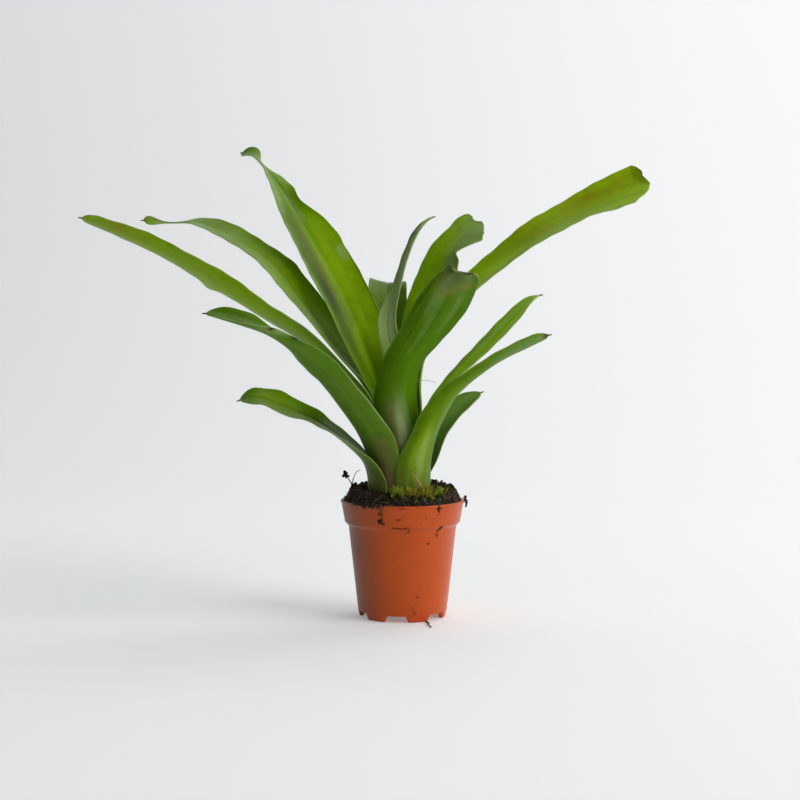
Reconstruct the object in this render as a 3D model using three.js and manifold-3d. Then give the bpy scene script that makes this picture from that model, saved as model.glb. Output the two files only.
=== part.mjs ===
import * as THREE from 'three';
import Module from 'manifold-3d';
import { mergeVertices } from 'three/addons/utils/BufferGeometryUtils.js';

// A young fireball nidularium in a small nursery pot.
// Millimetres, +Z up, +X to the right of the photograph's view, +Y away from it.
// Everything is laid out round the pot's axis first, and the whole is then moved
// so that the middle of its bounding box's bottom is the origin.

const wasm = await Module();
wasm.setup();

// Driving dimensions of the pot
const potHeight = 52;
const rimRadius = 27.5;
const bandRadiusTop = 27.1;
const bandRadiusBottom = 25.7;
const bandHeight = 9.7;
const lipHeight = 1.1;
const bodyRadiusTop = 24.0;
const bodyRadiusBottom = 19.9;
const footRadius = 19.2;
const stepHeight = 1.4;
const wallThickness = 1.2;
const floorHeight = 3;
const footWidth = 1.9;
const footCount = 6;
const notchWidthBottom = 11.2;
const notchWidthTop = 8.8;
const notchHeight = 2.7;
const notchDepth = 8;
const frontNotchDegrees = 261.3;
const drainHoleRadius = 2.6;
const drainCircleRadius = 11;
const drainCutHeight = 6;
const drainSides = 12;
const potSegments = 54;

// Driving dimensions of the soil
const soilEdgeHeight = 52.3;
const soilRise = 4.4;
const soilShoulder = 4;
const soilBackLift = 2;
const soilLump = 0.45;
const soilRings = 9;
const soilSegments = 44;
const socketHeight = 20;
const socketSides = 36;

// Driving dimensions of the rosette
const clearance = 0.3;
const rosetteX = -1.5;
const leafThickness = 0.85;
const leafFoot = 47;
const ringOuterRadius = 13.6;
const ringPitch = 1.3;
const vaseFlare = 0.04;
const vaseFlareStart = 58;
const sheathStep = 10;
const mucroLength = 1.6;
const mucroWidth = 0.9;
const bodyRows = 17;
const tipRows = 4;
const leafColumns = 6;
const lineDivisions = 600;
const ripplePhase = 1.9;
const crownPlateHeight = 2.6;
const crownCoreTop = 72;
const crownGap = 0.45;
const crownSides = 24;

// Driving dimensions of the small things on the soil
const mossFromDegrees = -102;
const mossToDegrees = -42;
const mossInnerRadius = 16;
const mossOuterRadius = 23.5;
const mossDepth = 1.6;
const mossCurveSegments = 10;
const mossSprigs = 34;
const mossSprigFootRadius = 0.65;
const mossSprigTipRadius = 0.3;
const mossSprigInset = 0.8;
const mossSprigFoot = 0.6;
const mossSprigHeight = 2.6;
const mossSprigExtra = 2;
const mossSprigLean = 1.4;
const mossSeed = 7;
const seedlingRadius = 0.4;
const seedlingCrumbRadius = 1.3;
const seedlingLeafletRadius = 1;
const seedlingLeafletStretch = [1, 0.6, 0.7];
const twigRadius = 0.5;
const stemSides = 6;
const stemBallShare = 1.12;
const socketRadius = 0.85;
const stemHoleSides = 8;

// Middle lines of the twig that leans on the front right sheath and of the seedling's two shoots
const twigLine = [[10, -17.5, 54.5], [8.2, -16.2, 59.5], [6.4, -14.7, 62.5], [4.6, -14.2, 65.2]];
const seedlingLeft = [[-22.4, 2, 53.5], [-22.9, 2, 59], [-24.2, 1.8, 61], [-25.4, 1.6, 63.4]];
const seedlingRight = [[-22.7, 2, 57.5], [-21.8, 2, 61.5], [-20.4, 2, 64.2]];

// The leaves from the oldest and outermost to the youngest, each with the ring its sheath stands in.
// sheath: compass angle of its middle, half-angles at its foot and top, and height of its top.
// blade: x, y, z of the middle line, then width, bend of the section and roll in degrees.
// ripple: height of the margins' waves and their number along the leaf.
const leaves = [
  {
    name: 'leaf_low_left', ring: 0, tip: 8, ripple: [0.5, 5], colour: 0x55852f,
    sheath: { angle: 193, foot: 56, top: 52, height: 62 },
    blade: [
      [-17, -5, 69, 22, 80, 0], [-24, -8, 77, 18, 60, -6], [-35, -11, 86, 16, 50, -14],
      [-49, -14, 93, 17, 45, -24], [-63, -16, 98, 15, 40, -24], [-72, -17, 97, 9, 40, -20],
    ],
  },
  {
    name: 'leaf_front_right', ring: 0, tip: 8, ripple: [0, 0], colour: 0x4c8235,
    sheath: { angle: 322, foot: 64, top: 54, height: 70 },
    blade: [
      [12, -10, 80, 21, 90, 0], [15, -13, 89, 18, 80, -6], [21, -16, 99, 13, 70, -8],
      [30.5, -18, 107.3, 11, 60, -2], [42, -20, 115, 12, 60, 4], [55, -21, 121.6, 12.5, 50, 4],
      [64, -21, 126, 9, 50, 0],
    ],
  },
  {
    name: 'leaf_front_left', ring: 1, tip: 8, ripple: [0.5, 4], colour: 0x3f7426,
    sheath: { angle: 230, foot: 54, top: 44, height: 67 },
    blade: [
      [-13, -13, 78, 22, 85, 0], [-19, -20, 89, 21, 70, 0], [-27, -27, 101, 18, 65, 5],
      [-38, -35, 113.5, 16.2, 70, 8], [-51, -42, 123, 16, 100, -14], [-65, -48, 130, 16, 110, -46],
      [-82, -53, 135, 9, 90, -40],
    ],
  },
  {
    name: 'leaf_short_right', ring: 1, tip: 8, ripple: [0, 0], colour: 0x3d6f33,
    sheath: { angle: 44, foot: 46, top: 34, height: 61 },
    blade: [
      [12, 9, 70, 16, 80, 0], [15.3, 12, 78.3, 14.5, 70, 0], [20.8, 14, 86.5, 12.3, 60, 0],
      [28.2, 17, 94, 11.5, 50, 0], [37, 19, 99.5, 6.5, 50, 0],
    ],
  },
  {
    name: 'leaf_front', ring: 2, tip: 8, ripple: [0.6, 4], colour: 0x4b8426,
    sheath: { angle: 280, foot: 54, top: 48, height: 80 },
    blade: [
      [-2.4, -15, 95, 21, 80, 0], [-0.2, -20, 111, 18.2, 70, 0], [8.8, -28, 126, 20, 60, 0],
      [17, -38, 140, 20, 45, 0], [23, -49, 149, 18, 45, 0], [26, -58, 151, 13, 45, 0],
    ],
  },
  {
    name: 'leaf_back', ring: 2, tip: 8, ripple: [0, 0], colour: 0x2f6420,
    sheath: { angle: 97, foot: 54, top: 50, height: 82 },
    blade: [
      [-2, 17, 97, 20, 70, 0], [-4, 27, 118, 20, 60, 0], [-7, 40, 138, 19, 50, 0],
      [-7, 55, 149, 18, 40, 0], [-7, 70, 148, 14, 40, 0],
    ],
  },
  {
    name: 'leaf_long_left', ring: 3, tip: 9, ripple: [0.4, 5], colour: 0x6d9a2c,
    sheath: { angle: 192, foot: 52, top: 40, height: 82 },
    blade: [
      [-19, -6, 98, 20, 80, 0], [-28, -10, 109, 21, 60, 4], [-43, -15, 123, 21, 50, 14],
      [-62, -19, 135.5, 19.5, 50, 22], [-87, -24, 151.5, 22, 50, 22], [-112, -28, 165, 18.5, 50, 20],
      [-137, -30, 175.5, 11, 40, 22],
    ],
  },
  {
    name: 'leaf_narrow_right', ring: 3, tip: 8, ripple: [0, 0], colour: 0x6fa43c,
    sheath: { angle: 354, foot: 46, top: 38, height: 78 },
    blade: [
      [13, 1, 92, 13, 70, 15], [22, 1, 104, 14, 60, 22], [37.3, 3, 119, 14.8, 60, 30],
      [49.3, 4, 131.8, 14, 50, 32], [57.8, 5, 140.8, 11.5, 50, 22], [62.5, 5, 143.5, 8, 50, 5],
    ],
  },
  {
    name: 'leaf_back_left', ring: 4, tip: 7, ripple: [0.5, 5], colour: 0x4f8637,
    sheath: { angle: 160, foot: 54, top: 52, height: 86 },
    blade: [
      [-15, 6, 100, 21, 80, 0], [-26, 12, 115, 22, 65, -10], [-41, 21, 134, 24, 60, -14],
      [-58, 31, 155, 23, 50, -19], [-78, 41, 169.5, 21, 45, -17], [-97, 50, 177.6, 15, 35, -22],
      [-111, 55, 178, 6.5, 20, -5], [-125, 58, 179.5, 9, 40, 50],
    ],
  },
  {
    name: 'leaf_long_right', ring: 4, tip: 8, ripple: [0.3, 6], colour: 0x6c9a28,
    sheath: { angle: 22, foot: 50, top: 40, height: 92 },
    blade: [
      [7.5, 2.4, 106, 12.5, 85, 0], [10.4, 3, 119, 13, 75, 4], [22, 8, 136, 18, 62, 6],
      [40, 15, 153.6, 21, 60, 10], [61.8, 22.5, 170.4, 22, 50, 18], [84, 33, 183, 21.8, 45, 26],
      [103, 38, 191.5, 24.5, 40, 34], [116, 41, 196.5, 25, 40, 38],
    ],
  },
  {
    name: 'leaf_tall', ring: 5, tip: 6, ripple: [0.4, 5], colour: 0x5d9222,
    sheath: { angle: 124, foot: 54, top: 52, height: 92 },
    blade: [
      [-11, 9, 106, 22, 80, 0], [-18, 15, 122, 25, 65, 0], [-26, 26, 140, 27, 60, 0],
      [-38, 39, 162, 26, 50, 0], [-51, 52, 184, 20, 50, 0], [-62, 62, 200, 11, 40, 15],
      [-69, 66, 208, 4.5, 40, 40], [-73, 69, 212, 10.5, 40, 0], [-79, 72, 213, 12, 60, -20],
    ],
  },
  {
    name: 'leaf_back_right', ring: 6, tip: 8, ripple: [0.5, 4], colour: 0x4d8538,
    sheath: { angle: 54, foot: 46, top: 36, height: 98 },
    blade: [
      [1.8, 9.8, 110, 10, 95, 0], [6.2, 19.5, 126, 15, 70, 8], [15, 30, 146, 24, 50, 8],
      [24, 44, 165, 22, 45, 14], [32, 57, 176, 20, 40, 26], [36.6, 64.7, 180.6, 17, 40, 34],
    ],
  },
  {
    name: 'leaf_young', ring: 7, tip: 8, ripple: [0, 0], colour: 0x476f3c,
    sheath: { angle: 85, foot: 55, top: 55, height: 100 },
    blade: [
      [-4, 8, 114, 11, 90, 10], [-7, 13, 131, 9, 80, 5], [-1.8, 18, 148, 7, 60, -45],
      [2.3, 22, 161, 9, 60, -60], [6.8, 26, 171.5, 9, 60, -60], [11, 29, 177, 8, 60, -60],
      [15, 31, 179.8, 4, 60, -60],
    ],
  },
];

const radians = THREE.MathUtils.degToRad;

function finish(name, solid, colour, roughness) {
  const geometry = geometryOf(solid);
  geometry.computeVertexNormals();
  const material = new THREE.MeshStandardMaterial({ color: colour, roughness, metalness: 0 });
  const mesh = new THREE.Mesh(geometry, material);
  mesh.name = name;
  return mesh;
}

function solidOf(geometry) {
  const bare = new THREE.BufferGeometry();
  bare.setAttribute('position', geometry.getAttribute('position').clone());
  if (geometry.index) {
    bare.setIndex(geometry.index.clone());
  }
  const merged = mergeVertices(bare, 1e-4);
  return new wasm.Manifold(new wasm.Mesh({
    numProp: 3,
    vertProperties: new Float32Array(merged.getAttribute('position').array),
    triVerts: new Uint32Array(merged.index.array),
  }));
}

function geometryOf(solid) {
  const mesh = solid.getMesh();
  const geometry = new THREE.BufferGeometry();
  const corners = new Float32Array(mesh.numVert * 3);
  for (let vertex = 0; vertex < mesh.numVert; vertex += 1) {
    for (let axis = 0; axis < 3; axis += 1) {
      corners[vertex * 3 + axis] = mesh.vertProperties[vertex * mesh.numProp + axis];
    }
  }
  geometry.setAttribute('position', new THREE.BufferAttribute(corners, 3));
  geometry.setIndex(Array.from(mesh.triVerts));
  return geometry;
}

// The largest of the bodies that a cut leaves: loose scraps are dropped.
function largestBody(solid) {
  return solid.decompose().reduce((best, body) => (body.volume() > best.volume() ? body : best));
}

function lathe(profile, segments) {
  const outline = profile.map(([radius, height]) => new THREE.Vector2(radius, height));
  return new THREE.LatheGeometry(outline, segments).rotateX(Math.PI / 2);
}

function rod(from, to, radiusFrom, radiusTo, sides) {
  const start = new THREE.Vector3(...from);
  const end = new THREE.Vector3(...to);
  const along = end.clone().sub(start);
  const geometry = new THREE.CylinderGeometry(radiusTo, radiusFrom, along.length(), sides);
  const turn = new THREE.Quaternion().setFromUnitVectors(new THREE.Vector3(0, 1, 0), along.normalize());
  const middle = start.add(end).multiplyScalar(0.5);
  return solidOf(geometry.applyQuaternion(turn).translate(middle.x, middle.y, middle.z));
}

// The pot: thin walled, with a broad band round its top, a recessed floor and notched feet.

function potSolid() {
  const bandBottom = potHeight - bandHeight;
  const bodyTop = bandBottom - stepHeight;
  const inside = floorHeight + wallThickness;
  const profile = [
    [0, floorHeight],
    [footRadius - footWidth, floorHeight],
    [footRadius - footWidth, 0],
    [footRadius - 0.5, 0],
    [footRadius, 0.5],
    [bodyRadiusBottom, 3.4],
    [bodyRadiusTop, bodyTop],
    [bandRadiusBottom, bandBottom],
    [bandRadiusTop, potHeight - lipHeight],
    [rimRadius, potHeight - lipHeight + 0.2],
    [rimRadius, potHeight - 0.3],
    [rimRadius - 0.3, potHeight],
    [rimRadius - wallThickness, potHeight],
    [bandRadiusBottom - wallThickness, bandBottom + 0.4],
    [bodyRadiusTop - wallThickness, bodyTop + 0.4],
    [bodyRadiusBottom - wallThickness + 0.1, inside + 0.8],
    [bodyRadiusBottom - wallThickness - 0.7, inside],
    [0, inside],
  ];
  let pot = solidOf(lathe(profile, potSegments));
  for (let index = 0; index < footCount; index += 1) {
    const angle = radians(frontNotchDegrees + (index * 360) / footCount);
    pot = pot.subtract(notchCutter(angle)).subtract(drainCutter(angle));
  }
  return pot;
}

function notchCutter(angle) {
  const outline = new THREE.Shape();
  outline.moveTo(-notchWidthBottom / 2, -1);
  outline.lineTo(notchWidthBottom / 2, -1);
  outline.lineTo(notchWidthTop / 2, notchHeight);
  outline.lineTo(-notchWidthTop / 2, notchHeight);
  outline.closePath();
  const cutter = new THREE.ExtrudeGeometry(outline, { depth: notchDepth, bevelEnabled: false });
  cutter.rotateX(Math.PI / 2).rotateZ(Math.PI / 2);
  cutter.translate(footRadius - notchDepth / 2, 0, 0);
  return solidOf(cutter.rotateZ(angle));
}

function drainCutter(angle) {
  const cutter = new THREE.CylinderGeometry(drainHoleRadius, drainHoleRadius, drainCutHeight, drainSides);
  cutter.rotateX(Math.PI / 2).translate(drainCircleRadius, 0, floorHeight);
  return solidOf(cutter.rotateZ(angle));
}

// The soil: fills the pot up to the rim and heaps up towards the plant.

function soilTop(x, y) {
  const radius = Math.hypot(x, y);
  const rise = THREE.MathUtils.smoothstep(rimRadius - wallThickness - radius, 0, soilShoulder);
  const broad = Math.sin(1.1 * x + 0.7 * y) + Math.sin(0.9 * y - 0.5 * x + 2);
  const lumps = broad + Math.sin(1.7 * x - 1.2 * y + 4);
  return soilEdgeHeight + rise * (soilRise + soilLump * lumps + (soilBackLift * y) / rimRadius);
}

function soilSolid(lift) {
  const gap = wallThickness + clearance;
  const bandBottom = potHeight - bandHeight;
  const bodyTop = bandBottom - stepHeight;
  const outer = rimRadius - gap - 0.2;
  const wall = [
    [bodyRadiusBottom - gap - 0.7, floorHeight + gap],
    [bodyRadiusBottom - gap + 0.1, floorHeight + gap + 0.9],
    [bodyRadiusTop - gap, bodyTop + 0.5],
    [bandRadiusBottom - gap, bandBottom + 0.5],
    [outer, soilEdgeHeight],
  ];
  const rings = wall.map(([radius, height]) => ringOf(radius, () => height));
  for (let index = 1; index < soilRings; index += 1) {
    rings.push(ringOf(outer * (1 - index / soilRings), soilTop));
  }
  const geometry = closedRings(rings, floorHeight + gap, soilTop(0, 0));
  return solidOf(geometry.translate(0, 0, lift));
}

function ringOf(radius, heightAt) {
  return Array.from({ length: soilSegments }, (unused, index) => {
    const angle = (index * 2 * Math.PI) / soilSegments;
    const x = radius * Math.cos(angle);
    const y = radius * Math.sin(angle);
    return [x, y, heightAt(x, y)];
  });
}

// Joins rings listed from the bottom up, with a fan to the axis at each end.
function closedRings(rings, bottom, top) {
  const count = rings[0].length;
  const corners = [...rings.flat(), [0, 0, bottom], [0, 0, top]];
  const faces = [];
  for (let next = 0; next < count; next += 1) {
    const after = (next + 1) % count;
    faces.push([corners.length - 2, after, next]);
    for (let ring = 0; ring + 1 < rings.length; ring += 1) {
      const low = ring * count;
      const high = low + count;
      faces.push([low + next, low + after, high + after], [low + next, high + after, high + next]);
    }
    const last = (rings.length - 1) * count;
    faces.push([last + next, last + after, corners.length - 1]);
  }
  return meshFrom(corners, faces);
}

function meshFrom(corners, faces) {
  const geometry = new THREE.BufferGeometry();
  geometry.setAttribute('position', new THREE.Float32BufferAttribute(corners.flat(), 3));
  geometry.setIndex(faces.flat());
  return geometry;
}

// The crown: the short stem, a plate under the leaf bases with a core up the middle of the rosette.

function crownSolid() {
  const plate = ringOuterRadius + leafThickness / 2;
  const top = leafFoot - clearance;
  const innermost = Math.min(...leaves.map(leafRing));
  const core = innermost - leafThickness / 2 - crownGap;
  const profile = [
    [0, top - crownPlateHeight],
    [plate * 0.8, top - crownPlateHeight],
    [plate, top - crownPlateHeight * 0.5],
    [plate, top],
    [core, top],
    [core * 0.8, crownCoreTop - 4],
    [core * 0.3, crownCoreTop],
    [0, crownCoreTop + 1],
  ];
  return solidOf(lathe(profile, crownSides).translate(rosetteX, 0, 0));
}

function crownSocket() {
  const radius = ringOuterRadius + leafThickness / 2 + 2 * clearance;
  const bottom = leafFoot - clearance - crownPlateHeight - clearance;
  const hole = new THREE.CylinderGeometry(radius, radius, socketHeight, socketSides).rotateX(Math.PI / 2);
  return solidOf(hole.translate(rosetteX, 0, bottom + socketHeight / 2));
}

// A leaf: a clasping sheath that runs on into a channelled blade with a short point.
// Its section is an arc of the given length and bend, square to the middle line.

function leafRing(leaf) {
  return ringOuterRadius - leaf.ring * ringPitch;
}

// The sheath's stations stand evenly up the vase, which widens alike for every leaf.
function leafStations(leaf) {
  const { angle, foot, top, height } = leaf.sheath;
  const points = [];
  const forms = [];
  const steps = Math.round((height - leafFoot) / sheathStep);
  for (let step = 0; step <= steps; step += 1) {
    const level = THREE.MathUtils.lerp(leafFoot, height, step / steps);
    const radius = leafRing(leaf) + vaseFlare * Math.max(level - vaseFlareStart, 0);
    const half = THREE.MathUtils.lerp(foot, top, step / steps);
    const x = rosetteX + radius * Math.cos(radians(angle));
    points.push(new THREE.Vector3(x, radius * Math.sin(radians(angle)), level));
    forms.push(new THREE.Vector3(2 * radians(half) * radius, 2 * half, 0));
  }
  for (const [x, y, z, width, bend, roll] of leaf.blade) {
    points.push(new THREE.Vector3(x, y, z));
    forms.push(new THREE.Vector3(width, bend, roll));
  }
  return {
    line: new THREE.CatmullRomCurve3(points, false, 'centripetal'),
    form: new THREE.CatmullRomCurve3(forms, false, 'catmullrom', 0.5),
    sheathSteps: steps,
    steps: points.length - 1,
  };
}

// Distances of the cross sections along the leaf: even down the blade, close together round the tip.
function leafRows(length, tip) {
  const shoulder = length - tip - mucroLength;
  const rows = [];
  for (let row = 0; row <= bodyRows; row += 1) {
    rows.push((shoulder * row) / bodyRows);
  }
  for (let row = 1; row <= tipRows; row += 1) {
    rows.push(shoulder + tip * Math.sin((row / tipRows) * (Math.PI / 2)));
  }
  rows.push(length);
  return rows;
}

// Carries a normal from one row to the next without twisting it about the line.
function carryNormal(normal, from, to) {
  const step = to.point.clone().sub(from.point);
  const mirror = (vector, across) => {
    const scale = (2 * vector.dot(across)) / across.lengthSq();
    return vector.clone().addScaledVector(across, -scale);
  };
  const turned = mirror(normal, step);
  const correction = to.tangent.clone().sub(mirror(from.tangent, step));
  return correction.lengthSq() > 1e-12 ? mirror(turned, correction) : turned;
}

function leafGeometry(leaf, grow) {
  const { line, form, sheathSteps, steps } = leafStations(leaf);
  line.arcLengthDivisions = lineDivisions;
  const length = line.getLength();
  const shoulder = length - leaf.tip - mucroLength;
  const thickness = leafThickness + 2 * grow;
  const heading = radians(leaf.sheath.angle);
  const upper = [];
  const lower = [];
  let before = null;
  let normal = new THREE.Vector3(-Math.cos(heading), -Math.sin(heading), 0);
  for (const distance of leafRows(length, leaf.tip)) {
    const t = line.getUtoTmapping(0, distance);
    const here = { point: line.getPoint(t), tangent: line.getTangent(t) };
    if (before) {
      normal = carryNormal(normal, before, here);
    }
    before = here;
    const { x: fullWidth, y: bendDegrees, z: rollDegrees } = form.getPoint(t);
    const past = THREE.MathUtils.clamp((distance - shoulder) / leaf.tip, 0, 1);
    const width = Math.max(fullWidth * Math.sqrt(1 - past * past), mucroWidth);
    const freedom = THREE.MathUtils.smoothstep(t * steps - sheathSteps, 0, 1);
    const clasp = width / Math.hypot(here.point.x - rosetteX, here.point.y);
    const freeBend = radians(Math.max(bendDegrees, 1)) * Math.min(width / fullWidth, 1);
    const bend = THREE.MathUtils.lerp(clasp, freeBend, freedom);
    const across = here.tangent.clone().cross(normal);
    const roll = radians(rollDegrees);
    const up = normal.clone().multiplyScalar(Math.cos(roll)).addScaledVector(across, Math.sin(roll));
    const side = here.tangent.clone().cross(up);
    const section = sectionOf(leaf, distance / length, width, bend, grow);
    for (const [sideways, rise, tilt] of section) {
      const middle = here.point.clone().addScaledVector(side, sideways).addScaledVector(up, rise);
      const face = up.clone().multiplyScalar(Math.cos(tilt)).addScaledVector(side, -Math.sin(tilt));
      upper.push(middle.clone().addScaledVector(face, thickness / 2).toArray());
      lower.push(middle.clone().addScaledVector(face, -thickness / 2).toArray());
    }
  }
  return shell(upper, lower, leafColumns + 1);
}

// Sideways place, rise and tilt of each point of one cross section, from margin to margin.
function sectionOf(leaf, along, width, bend, grow) {
  const [waveHeight, waveCount] = leaf.ripple;
  const fade = THREE.MathUtils.smoothstep(along, 0.35, 0.6) * THREE.MathUtils.smoothstep(1 - along, 0, 0.12);
  const arcRadius = width / bend;
  const points = [];
  for (let column = 0; column <= leafColumns; column += 1) {
    const across = (2 * column) / leafColumns - 1;
    const stretch = across * (1 + (2 * grow) / width);
    const tilt = (bend / 2) * stretch;
    const phase = across > 0 ? ripplePhase : 0;
    const wave = waveHeight * fade * across * across * Math.sin(2 * Math.PI * waveCount * along + phase);
    points.push([arcRadius * Math.sin(tilt), arcRadius * (1 - Math.cos(tilt)) + wave, tilt]);
  }
  return points;
}

// Two grids of points, cut into triangles alike, and joined round their edge into one closed body.
function shell(upper, lower, perRow) {
  const count = upper.length;
  const rows = count / perRow;
  const faces = [];
  const quad = (a, b, c, d) => faces.push([a, b, c], [a, c, d]);
  for (let row = 0; row + 1 < rows; row += 1) {
    for (let column = 0; column + 1 < perRow; column += 1) {
      const a = row * perRow + column;
      const b = a + 1;
      const c = b + perRow;
      const d = a + perRow;
      quad(a, b, c, d);
      faces.push([a + count, c + count, b + count], [a + count, d + count, c + count]);
    }
  }
  for (let row = 0; row + 1 < rows; row += 1) {
    const left = row * perRow;
    const right = left + perRow - 1;
    quad(left, left + perRow, left + perRow + count, left + count);
    quad(right + count, right + perRow + count, right + perRow, right);
  }
  for (let column = 0; column + 1 < perRow; column += 1) {
    const last = (rows - 1) * perRow + column;
    quad(column + count, column + 1 + count, column + 1, column);
    quad(last, last + 1, last + 1 + count, last + count);
  }
  return meshFrom([...upper, ...lower], faces);
}

// Younger leaves give way where an older one, with its clearance, would pass through them.
function leafSolids() {
  const older = [];
  return leaves.map((leaf) => {
    let solid = solidOf(leafGeometry(leaf, 0));
    for (const envelope of older) {
      if (solid.intersect(envelope).volume() > 0) {
        solid = largestBody(solid.subtract(envelope));
      }
    }
    older.push(solidOf(leafGeometry(leaf, clearance)));
    return solid;
  });
}

// Thin stems: rods end to end, with a ball at each bend.
function stemSolid(line, radius, tipRadius) {
  let stem = null;
  for (let index = 0; index + 1 < line.length; index += 1) {
    const start = THREE.MathUtils.lerp(radius, tipRadius, index / (line.length - 1));
    const end = THREE.MathUtils.lerp(radius, tipRadius, (index + 1) / (line.length - 1));
    const piece = rod(line[index], line[index + 1], start, end, stemSides);
    stem = stem ? stem.add(piece).add(ball(line[index], start * stemBallShare)) : piece;
  }
  return stem;
}

function ball(place, radius, stretch = [1, 1, 1]) {
  const geometry = new THREE.IcosahedronGeometry(radius, 1).scale(...stretch);
  return solidOf(geometry.translate(...place));
}

// The seedling: two thread-like shoots, the left one with a crumb of soil, the right one with a leaflet.
function seedlingSolid() {
  const crumb = ball(seedlingLeft.at(-1), seedlingCrumbRadius);
  const leaflet = ball(seedlingRight.at(-1), seedlingLeafletRadius, seedlingLeafletStretch);
  const left = stemSolid(seedlingLeft, seedlingRadius, seedlingRadius);
  const right = stemSolid(seedlingRight, seedlingRadius, seedlingRadius);
  return left.add(right).add(crumb).add(leaflet);
}

// The moss: a thin cushion draped on the soil beside the sheaths, with pointed sprigs standing out of it.
function mossSolid(socket, twigHole) {
  const from = radians(mossFromDegrees);
  const to = radians(mossToDegrees);
  const outline = new THREE.Shape();
  outline.absarc(0, 0, mossOuterRadius, from, to, false);
  outline.absarc(0, 0, mossInnerRadius, to, from, true);
  outline.closePath();
  const form = { depth: potHeight, bevelEnabled: false, curveSegments: mossCurveSegments };
  const patch = new THREE.ExtrudeGeometry(outline, form).translate(0, 0, potHeight / 2);
  let moss = soilSolid(mossDepth).intersect(solidOf(patch));
  const random = seeded(mossSeed);
  for (let index = 0; index < mossSprigs; index += 1) {
    const angle = THREE.MathUtils.lerp(from, to, (index + 0.5) / mossSprigs);
    const inner = mossInnerRadius + mossSprigInset;
    const radius = THREE.MathUtils.lerp(inner, mossOuterRadius - mossSprigInset, random());
    const x = radius * Math.cos(angle);
    const y = radius * Math.sin(angle);
    const foot = [x, y, soilTop(x, y) + mossSprigFoot];
    const height = mossSprigHeight + mossSprigExtra * random();
    const leanX = mossSprigLean * (random() - 0.5);
    const leanY = mossSprigLean * (random() - 0.5);
    const tip = [x + leanX, y + leanY, foot[2] + height];
    moss = moss.add(rod(foot, tip, mossSprigFootRadius, mossSprigTipRadius, stemSides));
  }
  return largestBody(moss.subtract(soilSolid(clearance)).subtract(socket).subtract(twigHole));
}

// A repeatable run of numbers between 0 and 1.
function seeded(seed) {
  let state = seed;
  return () => {
    state = (state * 16807) % 2147483647;
    return state / 2147483647;
  };
}

const socket = crownSocket();
const twigHole = rod(twigLine[0], twigLine[1], socketRadius, socketRadius, stemHoleSides);
const seedlingHole = rod(seedlingLeft[0], seedlingLeft[1], socketRadius, socketRadius, stemHoleSides);
const soil = soilSolid(0).subtract(socket).subtract(twigHole).subtract(seedlingHole);

const plant = new THREE.Group();
plant.add(finish('pot', potSolid(), 0xc0532f, 0.5));
plant.add(finish('soil', soil, 0x2c1e16, 1));
plant.add(finish('crown', crownSolid(), 0x8a9a5a, 0.7));
leafSolids().forEach((solid, index) => {
  plant.add(finish(leaves[index].name, solid, leaves[index].colour, 0.4));
});
plant.add(finish('moss', mossSolid(socket, twigHole), 0x6d7a22, 0.9));
plant.add(finish('twig', stemSolid(twigLine, twigRadius, twigRadius), 0xa6805a, 0.8));
plant.add(finish('seedling', seedlingSolid(), 0x6f8a35, 0.8));

const box = new THREE.Box3().setFromObject(plant);
const centre = box.getCenter(new THREE.Vector3());
plant.position.set(-centre.x, -centre.y, -box.min.z);

const part = new THREE.Group();
part.add(plant);

export default part;
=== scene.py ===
"""Looks for a young fireball nidularium in a small nursery pot.

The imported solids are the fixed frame. Every visible surface is worked out here again on a fine grid,
from the same driving dimensions, and stands where its solid stands. Lengths in the classes are in
millimetres, measured from the pot's axis and the underside of its feet; meshes are in metres.
"""

import logging
import math
from dataclasses import dataclass, field
from enum import Enum
from functools import partial

import bmesh
import bpy
import numpy as np
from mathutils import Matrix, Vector


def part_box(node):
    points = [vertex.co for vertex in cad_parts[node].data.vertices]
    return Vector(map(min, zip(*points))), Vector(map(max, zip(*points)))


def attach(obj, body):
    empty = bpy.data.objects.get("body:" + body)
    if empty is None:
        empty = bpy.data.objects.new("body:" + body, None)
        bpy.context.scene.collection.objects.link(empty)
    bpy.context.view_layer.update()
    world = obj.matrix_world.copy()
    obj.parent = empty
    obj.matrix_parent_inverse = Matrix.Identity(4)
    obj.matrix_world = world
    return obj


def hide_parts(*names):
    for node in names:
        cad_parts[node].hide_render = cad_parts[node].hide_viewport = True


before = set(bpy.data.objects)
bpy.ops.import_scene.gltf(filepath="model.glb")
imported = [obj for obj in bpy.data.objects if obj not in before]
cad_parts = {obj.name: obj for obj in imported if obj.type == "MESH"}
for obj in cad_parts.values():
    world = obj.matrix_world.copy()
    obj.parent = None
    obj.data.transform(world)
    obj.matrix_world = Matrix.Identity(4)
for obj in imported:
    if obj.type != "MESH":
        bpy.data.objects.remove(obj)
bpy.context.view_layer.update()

log = logging.getLogger("nidularium")
logging.basicConfig(level=logging.INFO, format="%(message)s")

MILLIMETRE = 0.001


def pot_axis() -> np.ndarray:
    """Returns the place of the pot's axis on the floor, in metres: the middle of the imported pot's box."""
    low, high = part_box("pot")
    return np.array([(low.x + high.x) / 2, (low.y + high.y) / 2, 0.0])


def smoothstep(value: np.ndarray, low: float, high: float) -> np.ndarray:
    """Smooth rise from 0 at low to 1 at high: 3t² - 2t³ of the clamped share t.

    Args:
        value: numbers of any shape.
        low: where the rise starts.
        high: where it ends.

    Returns:
        The rise for each number.
    """
    share = np.clip((np.asarray(value, float) - low) / (high - low), 0, 1)
    return share * share * (3 - 2 * share)


def lerp(first: np.ndarray, second: np.ndarray, share: np.ndarray) -> np.ndarray:
    """Returns the value that lies at the given share of the way from first to second."""
    return first + (second - first) * share


def unit(vectors: np.ndarray) -> np.ndarray:
    """Returns the vectors scaled to length 1 along their last axis."""
    return vectors / np.maximum(np.linalg.norm(vectors, axis=-1, keepdims=True), 1e-12)


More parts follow.
